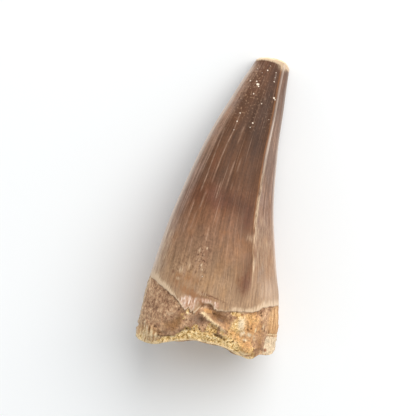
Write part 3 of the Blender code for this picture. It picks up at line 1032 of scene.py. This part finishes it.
    @staticmethod
    def broken_margin(part: Stretch, up: Array) -> None:
        """Adds the pale broken edge of the enamel, brightened at its left end as painted light, and the
        dentine bared at the worn tip.

        Args:
            part: The crown.
            up: Distances from the enamel's lower edge.
        """
        x = part.x
        wide = 0.3 + 0.65 * ease(4.0, 7.0, x) + 0.45 * ease(5.5, 7.5, -x)
        faint = 1 - 0.5 * bell((x - 2.5) / 1.8) - 0.9 * bell((x + 1.7) / 0.5)
        # The extra pale towards the left end is painted light where the edge slopes away from the lamp.
        part.add(Mark.CREAM, (0.95 + 0.4 * ease(5.5, 7.5, -x)) * bell(up / wide) * faint)
        worn = 0.35 + 0.4 * ease(-1.5, 2.2, x)
        part.add(Mark.CREAM, 1.3 * ease(-1.0, -0.1, (part.y - part.y[-1]) / worn))


def linear(colour: str) -> tuple[float, float, float, float]:
    """Turns an sRGB hex colour to linear.

    Args:
        colour: Such as "#8a6a50".

    Returns:
        Red, green, blue and alpha, linear.
    """
    parts = [int(colour[i:i + 2], 16) / 255 for i in (1, 3, 5)]
    made = [c / 12.92 if c <= 0.04045 else ((c + 0.055) / 1.055) ** 2.4 for c in parts]
    return made[0], made[1], made[2], 1.0


def put(tree: bpy.types.NodeTree, kind: str, inputs: dict[str | int, Any] | None = None,
        stops: Stops = (), out: str | int = 0, **settings: Any) -> bpy.types.NodeSocket:
    """Adds one node.

    Args:
        tree: The node tree.
        kind: The node's type name, without its ShaderNode prefix.
        inputs: Output sockets to link, or values, by the input's name or number.
        stops: Places and sRGB hex colours of a colour ramp.
        out: Name or number of the output that is wanted.
        settings: The node's own properties.

    Returns:
        That output.
    """
    node = tree.nodes.new("ShaderNode" + kind)
    for name, value in settings.items():
        setattr(node, name, value)
    for name, value in (inputs or {}).items():
        if isinstance(value, bpy.types.NodeSocket):
            tree.links.new(value, node.inputs[name])
        else:
            node.inputs[name].default_value = value
    for number, (where, colour) in enumerate(stops):
        bar = node.color_ramp.elements
        stop = bar[number] if number < 2 else bar.new(where)
        stop.position, stop.color = where, linear(colour)
    return node.outputs[out]


@dataclass(frozen=True)
class Stain:
    """A stain with a ragged edge, laid where its mark is strong.

    colour is sRGB hex, ragged how much a noise breaks up the edge, strength
    the most that the stain covers and soft the edge's width, in the mark's
    own strength.
    """

    colour: str
    ragged: float
    strength: float
    soft: float = 0.6


@dataclass(frozen=True)
class Grain:
    """A noise of a real width and length in millimetres."""

    wide: float
    long: float
    detail: float = 3.0
    roughness: float = 0.6


@dataclass(frozen=True)
class Finish:
    """What every finish shares: a name, a sheen and how deep its grain is.

    ripple_mm is the size of the ripples in the outlines of its pits and
    shake_mm how far they move those outlines.
    """

    name: str
    roughness: float
    ior: float
    gloss: float
    depth_mm: float
    ripple_mm: float = 0.2
    shake_mm: float = 0.2


class Paint:
    """A material built up coat over coat.

    colour is what shows so far, unrolled the places on the tooth's skin laid
    round a cylinder and inside the places in its solid, in millimetres.
    """

    def __init__(self, finish: Finish) -> None:
        """Starts an empty material.

        Args:
            finish: Gives its name, its sheen and how deep its grain is.
        """
        self.finish = finish
        self.material = bpy.data.materials.new(finish.name)
        self.material.use_nodes = True
        self.tree = self.material.node_tree
        self.unrolled = self.put("Attribute", out="Vector", attribute_name="unrolled")
        self.inside = self.put("Mapping", {"Vector": self.put("TexCoord", out="Object"),
                                           "Scale": (1 / MM,) * 3})
        self.colour: Any = (1.0, 1.0, 1.0, 1.0)

    def put(self, kind: str, inputs: dict[str | int, Any] | None = None, stops: Stops = (),
            **settings: Any) -> Any:
        """Adds one node to this material.

        Args:
            kind: The node's type name, without its ShaderNode prefix.
            inputs: Output sockets, values or marks, by input. A mark is read from the mesh.
            stops: Places and sRGB hex colours of a colour ramp.
            settings: The output that is wanted and the node's own properties.

        Returns:
            That output.
        """
        read = {name: self.put("Attribute", out="Fac", attribute_name=value.value)
                if isinstance(value, Mark) else value for name, value in (inputs or {}).items()}
        return put(self.tree, kind, read, stops, **settings)

    def noise(self, place: Any, size: Triple, grain: Grain) -> Any:
        """Noise with a real feature size.

        Args:
            place: Socket with places in millimetres.
            size: Feature size in millimetres along x, y and z.
            grain: Gives how fine and how rough it is.

        Returns:
            Socket with values round 0.5.
        """
        scaled = self.put("Mapping", {"Vector": place, "Scale": tuple(1 / s for s in size)})
        return self.put("TexNoise", {"Vector": scaled, "Scale": 1.0, "Detail": grain.detail,
                                     "Roughness": grain.roughness})

    def drawn(self, grain: Grain) -> Any:
        """Noise drawn out lengthwise on the skin."""
        return self.noise(self.unrolled, (grain.wide, grain.wide, grain.long), grain)

    def solid(self, grain: Grain) -> Any:
        """Noise that runs through the solid."""
        return self.noise(self.inside, (grain.wide, grain.long, grain.wide), grain)

    def cover(self, value: Any, low: float, high: float, *shares: Any) -> Any:
        """How much of a coat shows, smoothly growing with a value.

        Args:
            value: Socket or mark with the value.
            low: Where nothing of the coat shows, which may be above high.
            high: Where most of it shows.
            shares: Sockets, marks or numbers that the cover is multiplied by.

        Returns:
            Socket with values from 0 to 1.
        """
        grown = self.put("MapRange", {"Value": value, "From Min": low, "From Max": high},
                         interpolation_type="SMOOTHSTEP")
        return self.product(grown, *shares)

    def product(self, first: Any, *others: Any) -> Any:
        """Multiplies sockets, marks and numbers.

        Args:
            first: The first of them.
            others: What it is multiplied by.

        Returns:
            Socket with the product.
        """
        for other in others:
            first = self.put("Math", {0: first, 1: other}, operation="MULTIPLY")
        return first

    def total(self, *parts: tuple[Any, Any], plus: Any = 0.0) -> Any:
        """Adds up sockets.

        Args:
            parts: Each socket and what it is multiplied by.
            plus: Number, socket or mark that is added to them.

        Returns:
            Socket with the sum.
        """
        for value, factor in reversed(parts):
            plus = self.put("Math", {0: value, 1: factor, 2: plus}, operation="MULTIPLY_ADD")
        return plus

    def lay(self, colour: Any, cover: Any, mode: str = "MIX") -> None:
        """Lays a coat over what is there.

        Args:
            colour: Its sRGB hex colour, or a colour socket.
            cover: Socket, mark or number that says how much of it shows.
            mode: How it mixes with what lies below.
        """
        over = linear(colour) if isinstance(colour, str) else colour
        self.colour = self.put("Mix", {0: cover, 6: self.colour, 7: over}, out=2,
                               data_type="RGBA", blend_type=mode)

    @contextmanager
    def only(self, cover: Any) -> Iterator[None]:
        """Lets the coats laid inside it show only where a cover lies.

        Args:
            cover: Socket or mark with the cover.

        Yields:
            Nothing.
        """
        under = self.colour
        yield
        coats, self.colour = self.colour, under
        self.lay(coats, cover)

    def stain(self, mark: Mark, stain: Stain, broken: Any) -> None:
        """Lays a stain.

        Args:
            mark: The mark that it follows.
            stain: The stain.
            broken: Noise socket that breaks up its edge.
        """
        centred = self.total((broken, stain.ragged), plus=-0.5 * stain.ragged)
        # The noise counts for nothing where there is no mark.
        limited = self.put("Math", {0: mark, 1: 1.6}, operation="MULTIPLY", use_clamp=True)
        shifted = self.total((centred, limited), plus=mark)
        half = stain.soft / 2
        self.lay(stain.colour, self.cover(shifted, 0.5 - half, 0.5 + half, stain.strength))

    def tone(self, value: Any, low: float, high: float) -> None:
        """Darkens and lightens what is there.

        Args:
            value: Noise socket round 0.5.
            low: Brightness where the noise is low.
            high: Brightness where it is high.
        """
        ends = {"From Min": 0.3, "From Max": 0.7, "To Min": low, "To Max": high}
        self.lay(self.put("MapRange", {"Value": value, **ends}), 1.0, mode="MULTIPLY")

    def nearest(self, spots: Rounds) -> Any:
        """Distance to the nearest of some round spots, their outlines shaken.

        Args:
            spots: Centre and radius of each spot.

        Returns:
            Socket with the distance in radii of that spot.
        """
        size, amount = self.finish.ripple_mm, self.finish.shake_mm
        scaled = self.put("Mapping", {"Vector": self.inside, "Scale": (1 / size,) * 3})
        push = self.put("TexNoise", {"Vector": scaled, "Scale": 1.0, "Detail": 2.0}, out="Color")
        moved = self.put("VectorMath", {0: push, 1: (amount,) * 3, 2: self.inside},
                         operation="MULTIPLY_ADD")
        place = self.put("VectorMath", {0: moved, 1: (amount / 2,) * 3}, operation="SUBTRACT")
        least: Any = 9.0  # in radii, far outside every spot
        for centre, radius in spots:
            gap = self.put("VectorMath", {0: place, 1: centre}, out="Value", operation="DISTANCE")
            radii = self.product(gap, 1 / radius)
            least = self.put("Math", {0: radii, 1: least}, operation="MINIMUM")
        return least

    def close(self, sheen: Any, less: float, more: float, height: Any,
              strength: float) -> bpy.types.Material:
        """Links the colour, the roughness and the bump.

        Args:
            sheen: Noise socket that the roughness follows.
            less: How far the roughness falls below the finish's own.
            more: How far it rises above it.
            height: Height socket, from 0 to 1.
            strength: How much of the bump shows.

        Returns:
            The material.
        """
        low, high = self.finish.roughness - less, self.finish.roughness + more
        shader = self.tree.nodes["Principled BSDF"].inputs
        shader["IOR"].default_value = self.finish.ior
        shader["Specular IOR Level"].default_value = self.finish.gloss
        shader["Metallic"].default_value = 0.0
        links = {
            "Base Color": self.colour,
            "Roughness": self.put("MapRange", {"Value": sheen, "To Min": low, "To Max": high}),
            "Normal": self.put("Bump", {"Height": height, "Strength": strength,
                                        "Distance": self.finish.depth_mm * MM}),
        }
        for name, socket in links.items():
            self.tree.links.new(socket, shader[name])
        return self.material


@dataclass(frozen=True)
class FossilEnamel(Finish):
    """Fossil enamel, polished by wear: satin brown with lengthwise pale streaks and rusty lines."""

    name: str = "fossil_enamel"
    roughness: float = 0.46
    ior: float = 1.6
    gloss: float = 0.12
    depth_mm: float = 0.12
    along: Stops = (
        (8, "#ab8a6c"), (12, "#a07f61"), (16, "#926f55"), (20, "#835f48"), (24, "#6a4530"),
        (28, "#60412e"), (34, "#593c2a"), (41, "#563a29"), (48, "#5e3f2f"))  # by mm from the base
    along_start: float = 6.0
    along_length: float = 43.0
    # The dark stain also lays the painted shade beside the cutting edge.
    dark: Stain = Stain("#36241c", 2.0, 0.65, 1.1)
    rose: Stain = Stain("#6b4433", 2.6, 0.9, 0.9)
    # Greyer enamel of the flanks, partly painted light and painted reflection.
    flank: Stain = Stain("#957a6b", 2.0, 0.85, 1.1)
    grey: Stain = Stain("#85746a", 2.5, 0.6)
    amber: Stain = Stain("#99663f", 3.0, 0.62, 1.0)
    cream: Stain = Stain("#dcc0a0", 3.2, 0.85, 0.9)
    # Pale weathering bloom, and painted highlights and reflections along the ridges and outlines.
    bloom_and_highlight: Stain = Stain("#d8c5b6", 1.2, 0.9, 1.0)
    line: str = "#bd9a82"
    pale: str = "#b59274"
    hole: str = "#5c3a29"
    speck: str = "#f3e2cc"
    golden: str = "#fff2dc"
    fibres: Stops = ((0.37, "#9d6c50"), (0.45, "#be9478"), (0.53, "#d9b7a0"), (0.63, "#f1dfcf"))
    clouds: Grain = Grain(2.2, 4.5, 4.0)
    grains: Grain = Grain(0.34, 0.42)
    bands: Grain = Grain(0.9, 24.0, roughness=0.5)
    streaks: Grain = Grain(0.3, 8.0, 4.0)
    striae: Grain = Grain(0.14, 1.8)  # the real ones, some 0.05 mm wide, would be too fine to show
    dashes: Grain = Grain(0.22, 1.7, 2.0, 0.5)
    sheens: Grain = Grain(3.4, 5.5)
    hairs: Grain = Grain(0.15, 8.0, 2.0, 0.5)
    beads: Grain = Grain(0.3, 0.55, 2.0, 0.5)
    threads: Grain = Grain(0.2, 1.3)

    def make(self, specks: Rounds) -> bpy.types.Material:
        """Builds the material.

        Args:
            specks: Round pale pits, in millimetres from the object's origin.

        Returns:
            The material.
        """
        paint = Paint(self)
        grain = paint.solid(self.grains)
        streak, fine = paint.drawn(self.streaks), paint.drawn(self.striae)
        self.body(paint, grain, streak, fine)
        holes = self.wear(paint, grain)
        self.lines(paint, grain)
        paint.stain(Mark.GREY, self.grey, fine)
        paint.stain(Mark.AMBER, self.amber, fine)
        paint.stain(Mark.CREAM, self.cream, fine)
        # Bloom, with the painted highlights and reflections.
        paint.stain(Mark.CHALK_AND_HIGHLIGHT, self.bloom_and_highlight, streak)
        near = paint.nearest(specks)
        paint.lay(self.hole, paint.cover(near, 2.0, 1.0, 0.5))
        paint.lay(self.speck, paint.cover(near, 1.0, 0.6, 0.95))
        height = paint.total((fine, 0.35), (streak, 0.6), (holes, -0.5))
        return paint.close(streak, 0.1, 0.14, height, 0.35)

    def body(self, paint: Paint, grain: Any, streak: Any, fine: Any) -> None:
        """Lays the brown that darkens towards the tip, its growth bands and its streaks.

        Args:
            paint: The material.
            grain: Noise of small grains.
            streak: Noise of long streaks.
            fine: Noise of fine striae.
        """
        cloud, band = paint.solid(self.clouds), paint.drawn(self.bands)
        wavy = paint.total((cloud, 3.0), plus=paint.put("SeparateXYZ", {0: paint.unrolled}, out=2))
        low = self.along_start + 1.5  # the clouds add 1.5 on average
        ends = {"From Min": low, "From Max": low + self.along_length}
        stops = tuple(((y - self.along_start) / self.along_length, colour) for y, colour in self.along)
        share = paint.put("MapRange", {"Value": wavy, **ends})
        paint.colour = paint.put("ValToRGB", {0: share}, stops)
        paint.stain(Mark.ROSE, self.rose, paint.total((cloud, 0.5), (grain, 0.5)))
        paint.stain(Mark.DARK, self.dark, band)
        # Flanks: greyer enamel, partly painted light and painted reflection.
        paint.stain(Mark.FLANK_SHEEN, self.flank, streak)
        paint.tone(band, 0.89, 1.12)
        paint.tone(streak, 0.83, 1.19)
        paint.tone(fine, 0.85, 1.16)
        paint.tone(cloud, 0.84, 1.18)
        paint.tone(grain, 0.86, 1.15)

    def wear(self, paint: Paint, grain: Any) -> Any:
        """Lays short dark dashes, a golden sheen, and worn pits with pale peaks between them.

        Args:
            paint: The material.
            grain: Noise of small grains.

        Returns:
            Socket with the pits.
        """
        paint.lay(self.hole, paint.cover(paint.drawn(self.dashes), 0.42, 0.34, 0.3))
        sheen = paint.cover(paint.solid(self.sheens), 0.42, 0.62, 0.55)
        paint.lay(self.golden, sheen, mode="MULTIPLY")
        holes = paint.cover(grain, 0.45, 0.36, Mark.PITTED)
        paint.lay(self.hole, paint.product(holes, 0.7))
        paint.lay(self.pale, paint.cover(grain, 0.56, 0.66, Mark.PITTED, 0.42))
        return holes

    def lines(self, paint: Paint, grain: Any) -> None:
        """Lays hair-thin pale lines, the beaded scratches and the fibres of the flaked edge.

        Args:
            paint: The material.
            grain: Noise of small grains.
        """
        paint.lay(self.line, paint.cover(paint.drawn(self.hairs), 0.6, 0.7, 0.28))
        beads = paint.put("MapRange", {"Value": paint.drawn(self.beads), "From Min": 0.35,
                                       "From Max": 0.6, "To Min": 0.5})
        lined = paint.put("Math", {0: Mark.LINED, 1: beads}, operation="MULTIPLY", use_clamp=True)
        paint.lay(self.line, paint.product(lined, 0.66))
        thread = paint.total((paint.drawn(self.threads), 0.75), (grain, 0.25))
        paint.lay(paint.put("ValToRGB", {0: thread}, self.fibres), paint.cover(Mark.FIBRE, 0.3, 0.7))


@dataclass(frozen=True)
class BrokenRoot(Finish):
    """Dull broken dentine with phosphate sand cemented on: granular, earthy and unpolished."""

    name: str = "broken_dentine_and_phosphate_sand"
    roughness: float = 0.85
    ior: float = 1.5
    gloss: float = 0.2
    depth_mm: float = 0.25
    ripple_mm: float = 0.25
    shake_mm: float = 0.35
    dentine: Stops = ((0.36, "#795740"), (0.45, "#a57d60"), (0.53, "#be9674"), (0.64, "#e1be9a"))
    strands: Stops = ((0.32, "#a4754b"), (0.5, "#c39668"), (0.68, "#e4bb8c"))
    sand: Stops = ((0.34, "#9a6d34"), (0.43, "#dbaa60"), (0.52, "#f8d394"), (0.66, "#ffefc8"))
    brown: Stain = Stain("#9a6f45", 2.5, 0.8, 0.9)
    amber: Stain = Stain("#cb9762", 2.2, 0.85, 0.9)
    # The dark stain also lays the painted shade in the hollow under the enamel.
    dark: Stain = Stain("#5b3c22", 2.2, 0.85, 1.0)
    grey: Stain = Stain("#7f6654", 2.8, 0.8, 0.9)
    chalk: Stain = Stain("#e4cead", 2.2, 0.9, 1.0)
    cream: Stain = Stain("#ecd0a4", 3.4, 0.9)
    rose: Stain = Stain("#8f4a26", 2.0, 0.8)
    fleck: str = "#6f4a22"
    pit: str = "#3a2412"
    grains: Grain = Grain(0.4, 0.55, 4.0, 0.65)
    grit: Grain = Grain(0.2, 0.24, 2.0, 0.5)  # sand of 0.1 to 0.2 mm, of which the coarsest would show
    lumps: Grain = Grain(1.1, 1.8, 4.0)
    threads: Grain = Grain(0.28, 3.5, 4.0)
    crumbs: Grain = Grain(0.42, 0.6, 3.0, 0.65)

    def make(self, pits: Rounds) -> bpy.types.Material:
        """Builds the material.

        Args:
            pits: Round dark pits, in millimetres from the object's origin.

        Returns:
            The material.
        """
        paint = Paint(self)
        grain, grit, lump = paint.solid(self.grains), paint.solid(self.grit), paint.solid(self.lumps)
        thread = paint.drawn(self.threads)
        mixed = paint.total((lump, 0.35), (grain, 0.65))
        paint.colour = paint.put("ValToRGB", {0: mixed}, self.dentine)
        paint.lay(paint.put("ValToRGB", {0: thread}, self.strands), paint.cover(Mark.FIBRE, 0.2, 0.9))
        self.dust(paint, grain, grit, lump)
        paint.tone(lump, 0.86, 1.14)
        self.weather(paint, grain, thread)
        paint.tone(grit, 0.78, 1.2)
        near = paint.nearest(pits)
        paint.lay(self.dark.colour, paint.cover(near, 2.2, 1.0, 0.45))
        paint.lay(self.pit, paint.cover(near, 1.0, 0.5, 0.8))
        height = paint.total((grit, 0.3), (grain, 0.8))
        return paint.close(grain, 0.15, 0.1, height, 0.8)

    def dust(self, paint: Paint, grain: Any, grit: Any, lump: Any) -> None:
        """Lays the cemented sand with its dark flecks.

        Args:
            paint: The material.
            grain: Noise of coarse grains.
            grit: Noise of single sand grains.
            lump: Noise of lumps.
        """
        spread = paint.total((lump, 1.1), (grain, 0.5), plus=Mark.SAND)
        with paint.only(paint.cover(spread, 1.15, 1.5)):
            mixed = paint.total((grit, 0.35), (grain, 0.65))
            paint.colour = paint.put("ValToRGB", {0: mixed}, self.sand)
            on_lumps, off_lumps = paint.cover(lump, 0.42, 0.54, 0.6), paint.cover(lump, 0.58, 0.46, 0.45)
            paint.lay(self.fleck, paint.cover(grain, 0.45, 0.36, on_lumps))
            paint.lay(self.fleck, paint.cover(grit, 0.43, 0.33, off_lumps))
            paint.tone(grain, 0.76, 1.2)

    def weather(self, paint: Paint, grain: Any, thread: Any) -> None:
        """Lays the stains of the broken dentine, crumbly where they are amber.

        Args:
            paint: The material.
            grain: Noise of coarse grains.
            thread: Noise of long fibres.
        """
        paint.stain(Mark.PITTED, self.brown, grain)
        paint.stain(Mark.AMBER, self.amber, grain)
        with paint.only(Mark.AMBER):
            paint.tone(paint.solid(self.crumbs), 0.52, 1.46)
        paint.stain(Mark.DARK, self.dark, grain)
        paint.stain(Mark.GREY, self.grey, grain)
        paint.stain(Mark.CHALK_AND_HIGHLIGHT, self.chalk, grain)
        paint.stain(Mark.CREAM, self.cream, paint.total((thread, 0.6), (grain, 0.4)))
        paint.stain(Mark.ROSE, self.rose, grain)


@dataclass(frozen=True)
class WornDentine(Finish):
    """Dentine laid bare at the worn tip: smooth, cream to honey, slightly waxy."""

    name: str = "worn_dentine"
    roughness: float = 0.5
    ior: float = 1.56
    gloss: float = 0.35
    depth_mm: float = 0.06
    tones: Stops = ((0.3, "#d0a574"), (0.5, "#f0d4aa"), (0.7, "#f9e9cc"))
    lumps: Grain = Grain(0.8, 0.8, 4.0)

    def make(self) -> bpy.types.Material:
        """Builds the material.

        Returns:
            The material.
        """
        paint = Paint(self)
        lump = paint.solid(self.lumps)
        paint.colour = paint.put("ValToRGB", {0: lump}, self.tones)
        return paint.close(lump, 0.1, 0.15, lump, 0.5)


@dataclass
class Tooth:
    """The whole tooth: crown, worn tip, root stub and the sand cemented to it."""

    skin: Skin = field(default_factory=Skin)
    patina_and_light: PatinaAndLight = field(default_factory=PatinaAndLight)
    unrolled_radius: float = 7.2  # mm, gives the mean distance round the tooth

    def build(self) -> bpy.types.Object:
        """Lofts the skin, puts every vertex in its place and dresses it.

        Returns:
            The finished piece.
        """
        bm = loft(*self.skin.points.shape[:2])
        bmesh.ops.recalc_face_normals(bm, faces=bm.faces[:])
        piece = keep("tooth_skin", bm)
        mesh = piece.data
        row, column = self.numbers(mesh)
        mesh.vertices.foreach_set("co", self.on_vertices(self.skin.resting(), row, column).ravel())
        self.mark(mesh, row, column)
        self.dress(mesh, row)
        mesh.shade_smooth()
        mesh.update()
        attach(piece, "root")
        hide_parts("tooth")
        return piece

    @staticmethod
    def numbers(mesh: bpy.types.Mesh) -> tuple[Array, Array]:
        """Row and column of every vertex.

        Args:
            mesh: The lofted mesh.

        Returns:
            The rows and the columns.
        """
        count = len(mesh.vertices)
        row, column = np.empty(count, np.int32), np.empty(count, np.int32)
        mesh.attributes["row"].data.foreach_get("value", row)
        mesh.attributes["column"].data.foreach_get("value", column)
        return row, column

    @staticmethod
    def on_vertices(values: Array, row: Array, column: Array) -> Array:
        """Spreads values by row and column over the vertices.

        Args:
            values: Rows by columns, with any further axis.
            row: Row of every vertex, or one of the two hubs.
            column: Column of every vertex.

        Returns:
            One value for each vertex.
        """
        spread = values[np.maximum(row, 0), column]
        spread[row == FIRST_HUB] = values[0].mean(0)
        spread[row == LAST_HUB] = values[-1].mean(0)
        return spread

    def mark(self, mesh: bpy.types.Mesh, row: Array, column: Array) -> None:
        """Writes the unrolled places and the marks on the vertices.

        Args:
            mesh: The lofted mesh.
            row: Row of every vertex.
            column: Column of every vertex.
        """
        radius, y = self.unrolled_radius, self.skin.points[..., 1]
        turn = np.broadcast_to(self.skin.turn, y.shape) * math.tau
        unrolled = np.stack([radius * np.cos(turn), radius * np.sin(turn), y], -1)
        made = mesh.attributes.new("unrolled", "FLOAT_VECTOR", "POINT")
        made.data.foreach_set("vector", self.on_vertices(unrolled, row, column).ravel())
        for kind, values in self.patina_and_light.spread(self.skin).items():
            made = mesh.attributes.new(kind.value, "FLOAT", "POINT")
            made.data.foreach_set("value", self.on_vertices(values, row, column))

    def dress(self, mesh: bpy.types.Mesh, row: Array) -> None:
        """Gives each face the finish of the stretch that it lies in.

        Args:
            mesh: The lofted mesh.
            row: Row of every vertex.
        """
        finishes = {
            Zone.ROOT: BrokenRoot().make(self.skin.lay_rounds(self.patina_and_light.pits)),
            Zone.CROWN: FossilEnamel().make(self.skin.lay_rounds(self.patina_and_light.specks)),
            Zone.TIP: WornDentine().make(),
        }
        for material in finishes.values():
            mesh.materials.append(material)
        slot_of = {zone: slot for slot, zone in enumerate(finishes)} | {Zone.HOLLOW: 0}
        slots = np.array([slot_of[zone] for zone in self.skin.zone])
        of_vertex = np.where(row == LAST_HUB, slots[-1], slots[np.maximum(row, 0)])
        corners = np.empty(len(mesh.loops), np.int32)
        mesh.loops.foreach_get("vertex_index", corners)
        starts = np.empty(len(mesh.polygons), np.int32)
        mesh.polygons.foreach_get("loop_start", starts)
        mesh.polygons.foreach_set("material_index", np.maximum.reduceat(of_vertex[corners], starts))


@dataclass
class Studio:
    """Pale table, soft light from the upper right and a camera looking straight down.

    Lengths are millimetres and lamp_power is in watts. lean is how far the
    tooth's long axis is turned clockwise in the picture. lamp_way runs from
    the tooth to the lamp: to the picture's right, up it and off the table.
    The room's light falls from horizon to overhead between two heights.
    """

    lean: float = 12.9
    frame_width: float = 66.56
    focus_height: float = 6.0
    aim: tuple[float, float] = (-4.29, -1.68)
    lens: float = 200.0
    sensor: float = 36.0
    lamp_way: Triple = (0.56, 0.64, 0.9)
    lamp_colour: str = "#fffdf9"
    lamp_power: float = 6.3
    lamp_size: float = 950.0
    lamp_far: float = 700.0
    room_colour: str = "#f6fbff"
    horizon: float = 0.88
    overhead: float = 0.05
    room_heights: tuple[float, float] = (0.55, 0.95)
    table_colour: str = "#f1f2f3"
    table_half: float = 3000.0
    table_glow: float = 0.02

    def axes(self) -> tuple[Vector, Vector]:
        """The picture's right and up directions.

        Returns:
            Two level unit vectors.
        """
        angle = math.radians(self.lean)
        right = Vector((math.cos(angle), math.sin(angle), 0))
        return right, Vector((-math.sin(angle), math.cos(angle), 0))

    def build(self) -> bpy.types.Object:
        """Makes the table, the lights and the camera.

        Returns:
            The table top.
        """
        top = self.table()
        self.lamp()
        self.room()
        self.camera()
        bpy.context.scene.view_settings.view_transform = "Standard"
        return top

    def table(self) -> bpy.types.Object:
        """A plain matt white table top, faintly lit from below.

        Returns:
            The table top.
        """
        bm = bmesh.new()
        bmesh.ops.create_grid(bm, x_segments=1, y_segments=1, size=self.table_half * MM)
        top = keep("table_top", bm)
        material = bpy.data.materials.new("white_table")
        material.use_nodes = True
        settings = {
            "Base Color": linear(self.table_colour), "Roughness": 0.9, "Specular IOR Level": 0.0,
            "Emission Color": linear("#ffffff"), "Emission Strength": self.table_glow}
        for name, value in settings.items():
            material.node_tree.nodes["Principled BSDF"].inputs[name].default_value = value
        top.data.materials.append(material)
        return top

    def lamp(self) -> None:
        """Hangs a round softbox, slightly warm, that faces the tooth."""
        right, up = self.axes()
        across, along, out = self.lamp_way
        way = right * across + up * along + Vector((0, 0, out))
        data = bpy.data.lights.new("softbox_side", "AREA")
        data.shape, data.size, data.energy = "DISK", self.lamp_size * MM, self.lamp_power
        data.color = linear(self.lamp_colour)[:3]
        lamp = bpy.data.objects.new("softbox_side", data)
        lamp.location = way.normalized() * self.lamp_far * MM
        lamp.rotation_euler = (-way).to_track_quat("-Z", "Y").to_euler()
        bpy.context.scene.collection.objects.link(lamp)

    def room(self) -> None:
        """Surrounds the table with a pale room, slightly cool, darker overhead."""
        world = bpy.data.worlds.new("pale_room")
        world.use_nodes = True
        tree = world.node_tree
        height = put(tree, "SeparateXYZ", {0: put(tree, "TexCoord", out="Generated")}, out=2)
        low, high = self.room_heights
        glow = put(tree, "MapRange", {"Value": height, "From Min": low, "From Max": high,
                                      "To Min": self.horizon, "To Max": self.overhead})
        surround = tree.nodes["Background"].inputs
        surround["Color"].default_value = linear(self.room_colour)
        tree.links.new(glow, surround["Strength"])
        bpy.context.scene.world = world

    def camera(self) -> None:
        """A long lens straight above, turned so that the tooth leans to the right."""
        right, up = self.axes()
        data = bpy.data.cameras.new("overhead")
        data.lens, data.sensor_width = self.lens, self.sensor
        far = self.frame_width * self.lens / self.sensor + self.focus_height
        data.clip_start, data.clip_end = 0.01, 10.0  # metres
        camera = bpy.data.objects.new("overhead", data)
        turn = Matrix((right, up, Vector((0, 0, 1)))).transposed().to_quaternion()
        camera.matrix_world = Matrix.LocRotScale(Vector((*self.aim, far)) * MM, turn, None)
        bpy.context.scene.collection.objects.link(camera)
        bpy.context.scene.camera = camera


def main() -> None:
    """Builds the tooth and its studio, and reports the pieces."""
    logging.basicConfig(level=logging.INFO, format="%(message)s")
    for part in (Studio(), Tooth()):
        piece = part.build()
        counts = len(piece.data.vertices), len(piece.data.polygons)
        log.info("%s: %d vertices, %d faces", piece.name, *counts)


if __name__ == "__main__":
    main()
